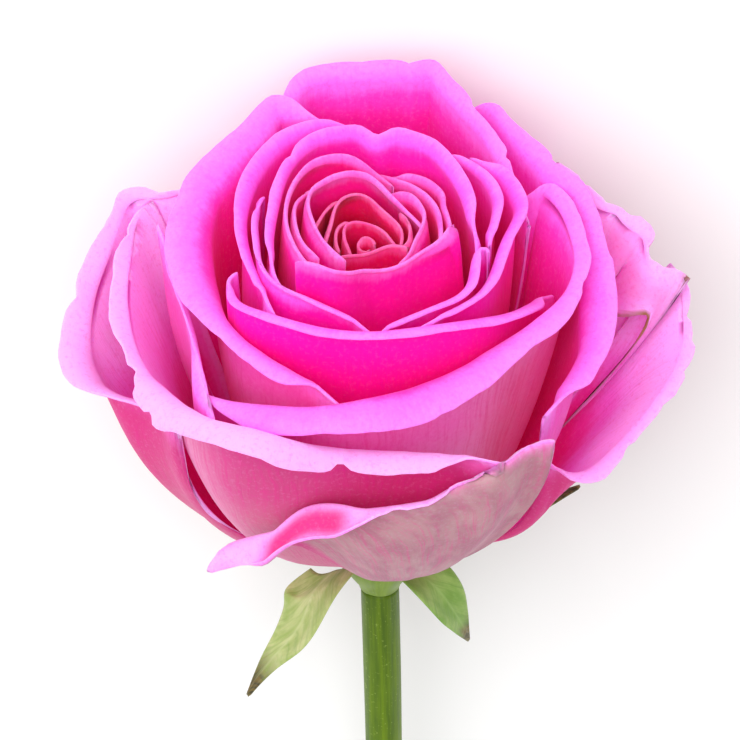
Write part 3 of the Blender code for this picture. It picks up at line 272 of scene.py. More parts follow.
class Layer:
    def __init__(self, V):
        self.nt, self.ns = V.shape[:2]
        self.P = V.reshape(-1, 3).copy()
        self.T = np.array(tris(self.nt, self.ns))
        self.orient()
        self.lo = self.P.min(0); self.hi = self.P.max(0)
        self.S = self.P[samples(self.nt, self.ns)].mean(1)
    def orient(self):
        self.skin = None
        P, T = self.P, self.T
        n = np.cross(P[T[:, 1]] - P[T[:, 0]], P[T[:, 2]] - P[T[:, 0]])
        c = P[T].mean(1)
        k = self.nt * self.ns
        body = (T[:, 0] // self.ns) < self.nt - 3
        s = (n * outward(c)).sum(1)[body].sum()
        if s < 0: self.T = T[:, ::-1].copy()
        self.tree = BVHTree.FromPolygons([tuple(p) for p in self.P], [tuple(int(q) for q in t) for t in self.T], epsilon=0.0)
        n = np.cross(self.P[self.T[:, 1]] - self.P[self.T[:, 0]], self.P[self.T[:, 2]] - self.P[self.T[:, 0]])
        self.N = n / (np.linalg.norm(n, axis=1)[:, None] + 1e-12)
    def thick(self):
        """Tree of both faces of the sheet, a little further apart than it is thick."""
        if self.skin is None:
            vn = np.zeros_like(self.P)
            for k in range(3): np.add.at(vn, self.T[:, k], self.N)
            vn /= np.linalg.norm(vn, axis=1)[:, None] + 1e-9
            d = vn * (PETAL_THICK / 2 + 0.12)
            faces = [tuple(int(q) for q in f) for f in self.T]
            n = len(self.P)
            both = faces + [tuple(q + n for q in f) for f in faces]
            self.skin = BVHTree.FromPolygons([tuple(p) for p in self.P + d] + [tuple(p) for p in self.P - d], both, epsilon=0.0)
        return self.skin

def blur(D, times, wt=(0.25, 0.5, 0.25)):
    for _ in range(times):
        E = np.pad(D, 1, mode='edge')
        E = E[:-2] * wt[0] + E[1:-1] * wt[1] + E[2:] * wt[2]
        D = E[:, :-2] * wt[0] + E[:, 1:-1] * wt[1] + E[:, 2:] * wt[2]
    return D

def settle(V, inner, gap, rounds=14, soften=2):
    """Push sheet V outward until it lies `gap` outside every sheet in `inner`."""
    V = V.copy(); nt, ns = V.shape[:2]
    mine = samples(nt, ns)
    for _ in range(rounds):
        me = Layer(V); D = outward(V); need = np.zeros(nt * ns)
        lo = me.lo - 6; hi = me.hi + 6
        near = [L for L in inner if np.all(L.lo < hi) and np.all(L.hi > lo)]
        Pf = me.P[mine].mean(1); Df = outward(Pf)
        for L in near:
            take = np.where(np.all(Pf > L.lo - 12, 1) & np.all(Pf < L.hi + 12, 1))[0]
            for k in take:
                pv = Vector(Pf[k]); dv = Vector(Df[k]); push = 0.0
                hit, n, idx, dist = L.tree.ray_cast(pv - dv * 0.01, dv, 14.0)
                if hit is not None and L.N[idx] @ Df[k] > 0.12:
                    push = dist + gap
                loc, n, idx, dist = L.tree.find_nearest(pv, gap * 1.2)
                if loc is not None and dist < gap:
                    push = max(push, (gap - dist) / max(abs(L.N[idx] @ Df[k]), 0.45) + 0.02)
                if push > 0:
                    for q in mine[k]: need[q] = max(need[q], push)
            Q = L.S; take = np.where(np.all(Q > me.lo - 12, 1) & np.all(Q < me.hi + 12, 1))[0]
            E = outward(Q)
            for k in take:
                pv = Vector(Q[k]); dv = Vector(E[k])
                hit, n, idx, dist = me.tree.ray_cast(pv + dv * 0.01, -dv, 14.0)
                if hit is not None and me.N[idx] @ E[k] > 0.12:
                    for q in me.T[idx]: need[q] = max(need[q], dist + gap)
                loc, n, idx, dist = me.tree.find_nearest(pv, gap * 1.2)
                if loc is not None and dist < gap:
                    push = (gap - dist) / max(abs(me.N[idx] @ E[k]), 0.45) + 0.02
                    for q in me.T[idx]: need[q] = max(need[q], push)
        if need.max() < 1e-3:
            for L in near:
                for mine_t, _ in me.thick().overlap(L.thick()):
                    for q in me.T[mine_t % len(me.T)]: need[q] = 0.25
        need = need.reshape(nt, ns)
        if need.max() < 1e-3: break
        move = np.maximum(need * 0.9, blur(need, soften) * 0.9)
        V = V + D * move[..., None]
    return V


def samples(nt, ns):
    """Corners of a sheet and the middles of its edges, as pairs of corners."""
    out = [(k, k) for k in range(nt * ns)]
    for i in range(nt):
        for j in range(ns):
            k = i * ns + j
            if j < ns - 1: out.append((k, k + 1))
            if i < nt - 1: out.append((k, k + ns))
            if j < ns - 1 and i < nt - 1: out.append((k, k + ns + 1))
    return np.array(out)


SEPALS = [
    # spine stations (azimuth, radius, height) from base to tip, widest width
    dict(name='sepal_left', spine=[(222, 7.0, -2.6), (221, 12, -5.0), (220, 16, -11), (213, 20, -18), (210, 23.8, -24.5)], width=8.4),
    dict(name='sepal_front_right', spine=[(305, 7.0, -2.6), (314, 11.8, -4.4), (323, 14.3, -9.8), (336, 15.2, -18)], width=8.0),
    dict(name='sepal_right', spine=[(12, 7.0, -2.4), (10, 14, -2.0), (9, 22.5, 0.0), (9, 31.5, 4.2)], width=7.4),
    dict(name='sepal_back', spine=[(84, 7.0, -2.6), (84, 13, -5.0), (85, 17, -11), (86, 19, -19)], width=7.6),
    dict(name='sepal_back_left', spine=[(152, 7.0, -2.6), (151, 13, -4.2), (151, 19, -8), (152, 23.5, -15)], width=7.6),
]


def sepal(spec, s, t):
    """Mid-surface of a sepal, rows from the base to the tip."""
    st = np.array([(r * math.cos(math.radians(a)), r * math.sin(math.radians(a)), z) for a, r, z in spec['spine']])
    L = np.concatenate([[0], np.cumsum(np.linalg.norm(np.diff(st, axis=0), axis=1))]); L /= L[-1]
    C = spline(L, st, t)
    T = spline(L, st, np.clip(t + 0.01, 0, 1)) - spline(L, st, np.clip(t - 0.01, 0, 1))
    T /= np.linalg.norm(T, axis=1)[:, None]
    radial = C.copy(); radial[:, 2] = 0; radial /= np.linalg.norm(radial, axis=1)[:, None]
    side = np.cross(T, np.array([0, 0, 1.0]) + 0.0 * T)
    flat = np.stack([-radial[:, 1], radial[:, 0], np.zeros(len(t))], 1)
    side = flat - (flat * T).sum(1)[:, None] * T
    side /= np.linalg.norm(side, axis=1)[:, None]
    up = np.cross(side, T)
    half = spec['width'] / 2 * np.interp(t, [0, 0.12, 0.28, 0.5, 0.75, 0.92, 1.0], [0.78, 0.92, 1.0, 0.82, 0.46, 0.2, 0.07])
    x = (s - 0.5) * 2
    S = C[:, None, :] + side[:, None, :] * (half[:, None] * x[None, :])[..., None]
    cup = 0.22 * half[:, None] * (x[None, :] ** 2)
    return S + up[:, None, :] * cup[..., None] * np.sign((up[:, 2]).sum())


def rows_of(spec):
    pts = np.array([station(c) for c in spec['rim']])
    length = np.linalg.norm(np.diff(pts, axis=0), axis=1).sum()
    big = length > 30
    cols = int(min(max(round(length / 4.6) + 2, 6), 13))
    t = np.array([0, 0.17, 0.38, 0.62, 0.84, 1.0, 1.5, 2.0] if big else [0, 0.2, 0.45, 0.75, 1.0, 1.5, 2.0])
    return np.linspace(0, 1, cols), t


def press(P, lean, drop):
    """Bend what would pass below the resting plane; monotonic, so order is kept."""
    n = np.array([0.0, -math.cos(lean), math.sin(lean)])
    h = P @ n + drop
    k = np.minimum(h, PRESS_SOFT)
    h2 = np.where(h < PRESS_SOFT, PRESS_SOFT * np.exp((k - PRESS_SOFT) / PRESS_SOFT), h)
    return P + (h2 - h)[..., None] * n


def resting(sheets):
    """Lean of the resting plane, and its drop, in the rose's own frame."""
    P = np.concatenate([S.reshape(-1, 3) for S in sheets])
    foot = RECEPTACLE_FOOT - STEM_LENGTH
    lo, hi = math.radians(5.0), math.radians(25.0)
    for _ in range(40):
        a = (lo + hi) / 2
        drop = STEM_RADIUS_END * math.cos(a) - foot * math.sin(a)
        low = (-P[:, 1] * math.cos(a) + P[:, 2] * math.sin(a) + drop).min()
        if low < -PRESS_DEPTH: lo = a
        else: hi = a
    return a, drop


def regrade(spec, s, t, V0, V):
    """Rim heights again, so that a rim pushed outward stays on its lines of sight."""
    pts = np.array([station(c) for c in spec['rim']])
    L = np.concatenate([[0], np.cumsum(np.linalg.norm(np.diff(pts, axis=0), axis=1))]); L /= L[-1]
    D = (V - V0)[np.abs(t - 1.3) < 0.4].mean(0)
    lift = -np.interp(L, s, D[:, 1]) * math.tan(VIEW_UP)
    draw = -np.interp(L, s, D[:, 0]) * UNIT * 0.6
    for _ in range(2):
        q = np.pad(lift, 1, mode='edge'); lift = q[:-2] * 0.25 + q[1:-1] * 0.5 + q[2:] * 0.25
        q = np.pad(draw, 1, mode='edge'); draw = q[:-2] * 0.25 + q[1:-1] * 0.5 + q[2:] * 0.25
    return dict(spec, rim=[c if c[0] == 'p' else (c[0] + g, c[1], c[2] + f) for c, f, g in zip(spec['rim'], lift, draw)])


def lay_on():
    """All petal sheets, heart first, each settled outside those before it."""
    sheets, flats, layers, specs = [], [], [], []
    for spec in PETALS:
        s, t = rows_of(spec)
        for _ in range(2):
            V0 = petal(spec, s, t)
            spec = regrade(spec, s, t, V0, settle(V0, layers, PETAL_GAP, rounds=5))
        V0 = petal(spec, s, t)
        V = settle(V0, layers, spec.get('gap', PETAL_GAP), rounds=30)
        layers.append(Layer(V)); sheets.append(V); flats.append(V0); specs.append(spec)
    leaves = []
    for spec in SEPALS:
        V = settle(sepal(spec, np.linspace(0, 1, 5), np.linspace(0, 1, 9)), layers, SEPAL_GAP)
        leaves.append(V)
    lean, drop = resting(sheets)
    return specs, flats, sheets, leaves, lean, drop




# ======================================================================
# From the rose's own frame to the frame of the CAD
# ======================================================================
def ring_centre(V, d, at):
    """Middle of the end ring, all of whose vertices lie within 2.5 mm of `at` along d."""
    k = np.abs(V @ d - at) < 2.5e-3
    return np.unique(np.round(V[k], 6), axis=0).mean(0)


def laid_down():
    """Lean and place of the rose, read from the two ends of its CAD stem."""
    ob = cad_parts["stem"]
    V = np.array([ob.matrix_world @ v.co for v in ob.data.vertices])
    d = np.array([0.0, 1.0, 0.0])
    for _ in range(4):
        h = V @ d
        a, b = ring_centre(V, d, h.max()), ring_centre(V, d, h.min())
        if np.isnan(a).any() or np.isnan(b).any(): break
        d = (a - b); d[0] = 0.0; d /= np.linalg.norm(d)
    lo = V[(V @ d) < (V @ d).min() + 2e-4].mean(0)
    lean = math.atan2(d[2], d[1])
    foot = (RECEPTACLE_FOOT - STEM_LENGTH) / 1000
    lo = np.array([b[0], b[1], b[2]])
    return lean, lo - foot * np.array([0.0, math.cos(lean), math.sin(lean)])


LEAN, PLACE = laid_down()
print("lean %.4f place %s" % (math.degrees(LEAN), np.round(PLACE * 1000, 3)))


def to_world(P):
    """Millimetres in the rose's frame to metres in the frame of the CAD."""
    P = np.asarray(P) / 1000
    out = np.empty_like(P)
    out[..., 0] = P[..., 0] + PLACE[0]
    out[..., 1] = P[..., 1] * math.sin(LEAN) + P[..., 2] * math.cos(LEAN) + PLACE[1]
    out[..., 2] = -P[..., 1] * math.cos(LEAN) + P[..., 2] * math.sin(LEAN) + PLACE[2]
    return out


# ======================================================================
# Finer petals
# ======================================================================
def wave(x, seed, octaves=3):
    """A smooth wandering line, about -1 to 1."""
    out = np.zeros_like(np.asarray(x, float)); amp = 1.0; tot = 0.0; f = 1.0
    for k in range(octaves):
        a, b = math.sin(seed * 12.9898 + k * 78.233) * 43.7585, math.sin(seed * 39.3467 + k * 11.135) * 73.156
        out = out + amp * (np.sin(f * 2 * math.pi * x + a) * 0.6 + np.sin(f * 3.37 * math.pi * x + b) * 0.4)
        tot += amp; amp *= 0.5; f *= 2.1
    return out / tot


def arc(S, axis):
    d = np.linalg.norm(np.diff(S, axis=axis), axis=2)
    z = np.zeros((1, S.shape[1])) if axis == 0 else np.zeros((S.shape[0], 1))
    return np.concatenate([z, np.cumsum(d, axis=axis)], axis=axis)


def normals(S):
    a = np.gradient(S, axis=1); b = np.gradient(S, axis=0)
    n = np.cross(a, b); n /= np.linalg.norm(n, axis=2)[..., None] + 1e-12
    k = max(2, int(S.shape[0] * 0.6))
    if (n[:k] * outward(S[:k])).sum() < 0: n = -n
    return n


def fine_rows(length, lip):
    """Columns and rows, closer together by the free edges."""
    m = int(min(max(length / 1.0, 34), 120))
    s = np.linspace(0, 1, m)
    near = np.array([0.10, 0.28, 0.55]) / max(length, 8)
    s = np.unique(np.concatenate([s, near, 1 - near]))
    body = np.concatenate([np.linspace(0, 0.6, 14)[:-1], np.linspace(0.6, 1.0, 15)])
    n = int(min(max(lip / 0.28, 9), 24))
    rim = 1 + np.linspace(0, 1, n)
    near = np.array([0.10, 0.25]) / max(lip, 0.6)
    t = np.unique(np.concatenate([body, rim, 2 - near]))
    return s, t


def spread(need, r):
    """At least `need` everywhere, and smooth: widened first, then blurred."""
    w = need.copy()
    for _ in range(r):
        p = np.pad(w, 1, mode='edge')
        w = np.maximum.reduce([p[1:-1, 1:-1], p[:-2, 1:-1], p[2:, 1:-1], p[1:-1, :-2], p[1:-1, 2:]])
    return blur(w, 2 * r)


def refine(S, trees, gap, rounds=4, step=2, reach=5):
    """Ease a fine sheet outward wherever it still comes too near an inner one."""
    nt, ns = S.shape[:2]
    ii = np.unique(np.append(np.arange(0, nt, step), nt - 1))
    jj = np.unique(np.append(np.arange(0, ns, step), ns - 1))
    for _ in range(rounds):
        need = np.zeros((nt, ns)); D = outward(S)
        lo, hi = S.reshape(-1, 3).min(0) - 4, S.reshape(-1, 3).max(0) + 4
        for tree, N, l, h in trees:
            if np.any(l > hi) or np.any(h < lo): continue
            for i in ii:
                for j in jj:
                    p = S[i, j]
                    if np.any(p < l - 2) or np.any(p > h + 2): continue
                    pv = Vector(p); d = D[i, j]; dv = Vector(d)
                    push = 0.0
                    hit, n, k, dist = tree.ray_cast(pv - dv * 0.01, dv, 5.0)
                    if hit is not None and N[k] @ d > 0.12: push = dist + gap
                    loc, n, k, dist = tree.find_nearest(pv, gap)
                    if loc is not None: push = max(push, (gap - dist) / max(abs(N[k] @ d), 0.5))
                    if push > need[i, j]:
                        need[i, j] = push
        if need.max() < 0.02: break
        S = S + D * spread(need, reach)[..., None] * 0.95
    return S


def tree_of(S, step=2):
    ii = np.unique(np.append(np.arange(0, S.shape[0], step), S.shape[0] - 1))
    jj = np.unique(np.append(np.arange(0, S.shape[1], step), S.shape[1] - 1))
    L = Layer(S[np.ix_(ii, jj)])
    return L.tree, L.N, L.lo, L.hi


def swell(S, body, lip, reach, s_len):
    """Thickness over a sheet: thin body, fuller rim, rounded free edge."""
    up = arc(S, 0); e_t = up[-1][None, :] - up
    across = arc(S, 1); e_s = np.minimum(across, across[:, -1:] - across)
    d = np.minimum(e_t, e_s)
    h = body + (lip - body) * ease(1 - d / reach)
    r = h / 2
    x = np.clip(d / r, 0, 1)
    return np.maximum(h * np.sqrt(np.maximum(1 - (1 - x) ** 2, 0)), 0.07), d, e_t, e_s


def sheet_mesh(name, S, h, values, bend=None):
    """A closed shell round the sheet S. values are per-point numbers for the materials."""
    nt, ns = S.shape[:2]
    n = normals(S)
    inner = S - n * (h / 2)[..., None]
    outer = S + n * (h / 2)[..., None]
    if bend is not None: inner, outer = bend(inner), bend(outer)
    co = np.concatenate([to_world(inner).reshape(-1, 3), to_world(outer).reshape(-1, 3)])
    k = nt * ns
    q = np.array(quads(nt, ns))
    faces = [q, (q + k)[:, ::-1]]
    rim = []
    idx = np.arange(k).reshape(nt, ns)
    loop = np.concatenate([idx[0, :-1], idx[:-1, -1], idx[-1, :0:-1], idx[:0:-1, 0]])
    nxt = np.roll(loop, -1)
    faces.append(np.stack([nxt, loop, loop + k, nxt + k], 1))
    F = np.concatenate(faces)
    me = bpy.data.meshes.new(name)
    me.vertices.add(len(co)); me.vertices.foreach_set('co', co.astype(np.float32).ravel())
    me.loops.add(F.size); me.loops.foreach_set('vertex_index', F.astype(np.int32).ravel())
    me.polygons.add(len(F)); me.polygons.foreach_set('loop_start', np.arange(0, F.size, 4, dtype=np.int32))
    me.polygons.foreach_set('loop_total', np.full(len(F), 4, dtype=np.int32))
    me.update(calc_edges=True)
    me.validate()
    bm = bmesh.new(); bm.from_mesh(me)
    vol = bm.calc_volume(signed=True)
    if vol < 0:
        bmesh.ops.reverse_faces(bm, faces=bm.faces)
    bm.to_mesh(me); bm.free()
    me.shade_smooth()
    values = dict(values)
    side = np.concatenate([np.zeros(k), np.ones(k)])
    for key, val in list(values.items()) + [('side', None)]:
        data = side if key == 'side' else np.concatenate([np.asarray(v).reshape(-1) for v in (val if isinstance(val, tuple) else (val, val))])
        at = me.attributes.new(key, 'FLOAT', 'POINT')
        at.data.foreach_set('value', data.astype(np.float32))
    ob = bpy.data.objects.new(name, me)
    bpy.context.scene.collection.objects.link(ob)
    return ob


# Thickness of the rim of each kind of petal, and how far in it is felt (mm).
KINDS = {
    'heart': dict(body=0.34, lip=0.55, reach=0.9, gap=0.50),
    'inner': dict(body=0.36, lip=0.62, reach=1.4, gap=0.55),
    'middle': dict(body=0.40, lip=0.62, reach=2.2, gap=0.58),
    'outer': dict(body=0.44, lip=0.55, reach=4.0, gap=0.62),
    'guard': dict(body=0.42, lip=0.48, reach=4.0, gap=0.62),
}


def fine_petal(spec, s0, t0, V0, V, k):
    """The same petal as the CAD one, in fine rows and columns."""
    pts = np.array([station(c) for c in spec['rim']])
    length = np.linalg.norm(np.diff(pts, axis=0), axis=1).sum()
    lipr = along(spec, 'lipr', 2.0, np.linspace(0, 1, 5)).max()
    s, t = fine_rows(length, lipr * 1.9)
    F = petal(spec, s, t)
    D = np.stack([blur((V - V0)[..., c], 1) for c in range(3)], axis=2)
    A = np.stack([spline(s0, D[i], s) for i in range(D.shape[0])])
    B = spline(t0, A.reshape(A.shape[0], -1), t).reshape(len(t), len(s), 3)
    return s, t, F + B, length


def build_petals():
    specs, flats, sheets, leaves, lean, drop = lay_on()
    made, trees = [], []
    for k, (spec, V0, V) in enumerate(zip(specs, flats, sheets)):
        kind = spec['name'].split('_')[0]
        K = KINDS[kind]
        s0, t0 = rows_of(PETALS[k])
        s, t, S, length = fine_petal(spec, s0, t0, V0, V, k)
        S = details(spec, S, s, t, k, length)
        S = refine(S, trees, K['gap'])
        trees.append(tree_of(S))
        made.append((spec, kind, s, t, S, length))
    return made, leaves, lean, drop


def details(spec, S, s, t, k, length):
    """Soft ruffles along the rims of the larger petals."""
    kind = spec['name'].split('_')[0]
    amp = {'heart': 0.05, 'inner': 0.08, 'middle': 0.12, 'outer': 0.3, 'guard': 0.45}[kind]
    n = normals(S)
    x = s * length / 42.0
    w = wave(x, k + 1.7)[None, :] * ease((t - 0.45) / 1.3)[:, None]
    w2 = wave(x * 2.3, k + 31.1)[None, :] * ease((t - 0.9) / 1.0)[:, None] * 0.5
    if spec['name'] == 'guard_low': S = fold_low(S, s, t)
    fade = ease(np.minimum(s, 1 - s) / 0.06)[None, :]
    S = S + n * ((w + w2) * amp * (0.4 + 0.6 * fade))[..., None]
    # the free edge itself wanders a little up and down its petal
    g = np.gradient(S, axis=0); g /= np.linalg.norm(g, axis=2)[..., None] + 1e-9
    cut = (wave(x * 1.7, k + 77.7, 4) * {'heart': 0.12, 'inner': 0.18, 'middle': 0.25, 'outer': 0.45, 'guard': 0.6}[kind])[None, :]
    for at, w, high in NICKS.get(spec['name'], ()):
        cut = cut + (high * ease((s - at) / w + 0.5))[None, :] if w > 0 else cut - (high * np.exp(-((s - at) / w) ** 2))[None, :]
    return S + g * (cut * ease((t - 1.0) / 1.0)[:, None])[..., None]


# Irregular places on free edges, in mm: (place, width, step), or a notch where the width is below 0.
NICKS = {
    'guard_right': ((.34, .03, -.9), (.52, .03, 1.3), (.70, .03, -1.2), (.80, .05, 1.1), (.2, -.02, .7)),
    'guard_right_2': ((.18, -.015, .8), (.27, .02, .8), (.36, -.012, .9), (.47, .03, -.9), (.66, -.02, .7)),
    'guard_front': ((.36, -.012, .9), (.40, .02, 1.0), (.455, -.010, 1.2), (.50, .03, -.8), (.76, -.010, 1.3), (.08, -.01, .6)),
    'guard_left': ((.12, -.02, .8), (.22, .03, -.7), (.48, -.015, .6)),
    'outer_right': ((.33, -.012, .7), (.60, .02, .6)),
    'outer_back': ((.42, -.010, .7), (.62, .02, -.6), (.80, -.012, .6)),
    'outer_front': ((.30, -.010, .5), (.62, .02, .4)),
    'middle_1': ((.37, -.012, .5),),
    'inner_7': ((.52, -.012, .5), (.72, .02, .4)),
    'guard_low': ((.55, -.02, .5), (.70, .02, -.8), (.86, .02, .8), (.93, -.015, .7)),
}


def fold_low(S, s, t):
    """The low front petal: its left half is folded out into a trough that ends in a round tongue."""
    i1 = int(np.argmin(np.abs(t - 1.0)))
    E = S[i1]; out = outward(E).copy(); out[:, 2] = 0; out /= np.linalg.norm(out, axis=1)[:, None]
    q = np.clip(t - 1.0, 0, 1); at = np.array([0, .2, .4, .6, .8, 1.0])
    q = q[:, None] * np.sqrt(1 - np.clip((0.075 - s) / 0.078, 0, 1) ** 2)[None, :]
    k = ease((s - 0.09) / 0.09)[None, :, None]
    trough = spline(at, np.array([[0, 0], [.5, .9], [1.4, .7], [2.4, -1.2], [3.9, -2.3], [5.0, -1.5]]), q.ravel()).reshape(q.shape + (2,))
    tongue = spline(at, np.array([[0, 0], [.9, .8], [2.0, .9], [3.1, .3], [3.7, -1.0], [3.5, -2.6]]), q.ravel()).reshape(q.shape + (2,))
    prof = tongue * (1 - k) + trough * k
    P = E[None] + out[None] * prof[..., :1] + np.array([0, 0, 1.0]) * prof[..., 1:]
    w = ease((0.52 - s) / 0.16)[None, :, None] * (t > 1.0)[:, None, None]
    S = S * (1 - w) + P * w
    return S


# ======================================================================
# Materials
# ======================================================================
class Tree:
    def __init__(self, name):
        self.m = bpy.data.materials.new(name); self.m.use_nodes = True
        self.t = self.m.node_tree; self.t.nodes.clear()
        self.out = self.t.nodes.new('ShaderNodeOutputMaterial')
        self.b = self.t.nodes.new('ShaderNodeBsdfPrincipled')
        self.t.links.new(self.b.outputs[0], self.out.inputs['Surface'])
    def link(self, a, b): self.t.links.new(a, b)
    def attr(self, name):
        n = self.t.nodes.new('ShaderNodeAttribute'); n.attribute_type = 'GEOMETRY'; n.attribute_name = name
        return n.outputs['Fac']
    def math(self, op, a, b=None, c=None, clamp=False):
        n = self.t.nodes.new('ShaderNodeMath'); n.operation = op; n.use_clamp = clamp
        for i, x in enumerate((a, b, c)):
            if x is None: continue
            if isinstance(x, (int, float)): n.inputs[i].default_value = x
            else: self.link(x, n.inputs[i])
        return n.outputs[0]
    def ramp(self, f, stops, mode='EASE'):
        n = self.t.nodes.new('ShaderNodeValToRGB'); r = n.color_ramp; r.interpolation = mode
        while len(r.elements) > 1: r.elements.remove(r.elements[-1])
        r.elements[0].position = stops[0][0]; r.elements[0].color = (*stops[0][1], 1)
        for p, c in stops[1:]:
            e = r.elements.new(p); e.color = (*c, 1)
        self.link(f, n.inputs[0])
        return n.outputs[0]
    def band(self, f, lo, hi, a=0.0, b=1.0):
        n = self.t.nodes.new('ShaderNodeMapRange'); n.interpolation_type = 'SMOOTHSTEP'
        self.link(f, n.inputs['Value'])
        n.inputs['From Min'].default_value = lo; n.inputs['From Max'].default_value = hi
        n.inputs['To Min'].default_value = a; n.inputs['To Max'].default_value = b
        return n.outputs['Result']
    def mix(self, f, a, b, mode='MIX'):
        n = self.t.nodes.new('ShaderNodeMix'); n.data_type = 'RGBA'; n.blend_type = mode; n.clamp_factor = True
        if isinstance(f, (int, float)): n.inputs[0].default_value = f
        else: self.link(f, n.inputs[0])
        for i, x in ((6, a), (7, b)):
            if isinstance(x, tuple): n.inputs[i].default_value = (*x, 1)
            else: self.link(x, n.inputs[i])
        return n.outputs[2]
    def vec(self, x, y, z):
        n = self.t.nodes.new('ShaderNodeCombineXYZ')
        for i, q in enumerate((x, y, z)):
            if isinstance(q, (int, float)): n.inputs[i].default_value = q
            else: self.link(q, n.inputs[i])
        return n.outputs[0]
    def noise(self, v, scale, detail=3.0, rough=0.5, dist=0.0):
        n = self.t.nodes.new('ShaderNodeTexNoise'); n.noise_dimensions = '3D'
        n.inputs['Scale'].default_value = scale; n.inputs['Detail'].default_value = detail
        n.inputs['Roughness'].default_value = rough; n.inputs['Distortion'].default_value = dist
        self.link(v, n.inputs['Vector'])
        return n.outputs['Fac']
    def object_coords(self):
        return self.t.nodes.new('ShaderNodeTexCoord').outputs['Object']
    def bump(self, h, strength, dist, normal=None):
        n = self.t.nodes.new('ShaderNodeBump'); n.inputs['Strength'].default_value = strength
        n.inputs['Distance'].default_value = dist
        self.link(h, n.inputs['Height'])
        if normal is not None: self.link(normal, n.inputs['Normal'])
        return n.outputs[0]


def petal_material(name, inside, outside, vein=0.10, painted_glow=0.03, frost=0.08):
    """Inside and outside are colours by distance from the free edge, over 30 mm. The pale lilac at the free edge is
    partly painted highlight, the sheen the rims catch, and the deepening further in is partly painted shade of the
    bud's depths, over the petal's own magenta.
    """
    T = Tree(name)
    edge = T.math('DIVIDE', T.attr('edge'), 30.0)
    pu, pv, pid = T.attr('pu'), T.attr('pv'), T.attr('pid')
    side = T.attr('side')
    pale, deep = T.attr('pale'), T.attr('deep')
    # wandering coordinates, so that veins are not quite straight
    drift = T.noise(T.vec(T.math('MULTIPLY', pu, 0.12), T.math('MULTIPLY', pv, 0.10), pid), 1.0, 2.0)
    u = T.math('ADD', pu, T.math('MULTIPLY', drift, 3.0))
    veins = T.noise(T.vec(T.math('MULTIPLY', u, 1.5), T.math('MULTIPLY', pv, 0.09), pid), 1.0, 3.0, 0.62)
    fine = T.noise(T.vec(T.math('MULTIPLY', u, 4.5), T.math('MULTIPLY', pv, 0.35), pid), 1.0, 2.0, 0.5)
    obj = T.object_coords()
    cells = T.noise(obj, 2600.0, 2.0, 0.6)
    blot = T.noise(T.vec(T.math('MULTIPLY', pu, 0.22), T.math('MULTIPLY', pv, 0.16), pid), 1.0, 3.0, 0.55)
    e = T.math('ADD', edge, T.math('MULTIPLY', T.math('SUBTRACT', blot, 0.5), 0.10))
    e = T.math('ADD', e, T.math('MULTIPLY', T.math('SUBTRACT', veins, 0.5), 0.05))
    cin = T.ramp(e, inside)
    cout = T.ramp(e, outside)
    c = T.mix(T.band(side, 0.25, 0.75), cin, cout)
    c = T.mix(pale, c, T.mix(T.band(blot, 0.35, 0.65), (0.38, 0.19, 0.225), (0.45, 0.30, 0.30)))
    c = T.mix(T.attr('fair'), c, T.mix(T.band(veins, 0.35, 0.65), (0.86, 0.32, 0.58), (0.84, 0.24, 0.48)))
    # painted shade: deep crimson laid where the marks say a fold or a lip shades the petal
    c = T.mix(deep, c, (0.72, 0.006, 0.17))
    # veins: slightly deeper lines, and mottling
    v = T.band(veins, 0.46, 0.70)
    away = T.band(edge, 0.04, 0.45, 0.25, 1.0)
    vf = T.math('MULTIPLY', T.math('MULTIPLY', v, away), T.math('ADD', T.math('MULTIPLY', side, vein * 1.1), vein))
    c = T.mix(vf, c, (0.72, 0.02, 0.26))
    grain = T.noise(obj, 1500.0, 3.0, 0.65)
    c = T.mix(T.math('MULTIPLY', T.band(grain, 0.50, 0.72), 0.22), c, (0.78, 0.01, 0.34))
    c = T.mix(T.math('MULTIPLY', T.band(grain, 0.50, 0.30), frost), c, (1.0, 0.50, 0.95))
    dry = T.attr('dry')
    c = T.mix(T.math('MULTIPLY', dry, T.band(blot, 0.3, 0.6, 0.55, 1.0)), c, (0.30, 0.16, 0.05))
    T.link(c, T.b.inputs['Base Color'])
    # painted glow: a little red emission, though a petal is no lamp, standing in for the red glow that light leaves
    # inside a petal and lifting the shaded folds towards crimson
    T.b.inputs['Emission Color'].default_value = (1.0, 0.0, 0.30, 1)
    T.b.inputs['Emission Strength'].default_value = painted_glow
    rough = T.band(fine, 0.3, 0.7, 0.44, 0.60)
    T.link(rough, T.b.inputs['Roughness'])
    T.b.inputs['Specular IOR Level'].default_value = 0.12
    T.b.inputs['Subsurface Weight'].default_value = 0.35
    T.b.inputs['Subsurface Radius'].default_value = (1.0, 0.35, 0.7)
    T.b.inputs['Subsurface Scale'].default_value = 0.0012
    T.b.inputs['Sheen Weight'].default_value = 0.07
    T.b.inputs['Sheen Roughness'].default_value = 0.45
    T.b.inputs['Sheen Tint'].default_value = (1.0, 0.6, 0.95, 1)
    b1 = T.bump(T.math('MULTIPLY', veins, away), 0.35, 0.0003)
    b2 = T.bump(fine, 0.25, 0.00010, b1)
    b3 = T.bump(T.math('ADD', T.math('MULTIPLY', cells, 0.5), grain), 0.30, 0.00008, b2)
    T.link(b3, T.b.inputs['Normal'])
    return T.m


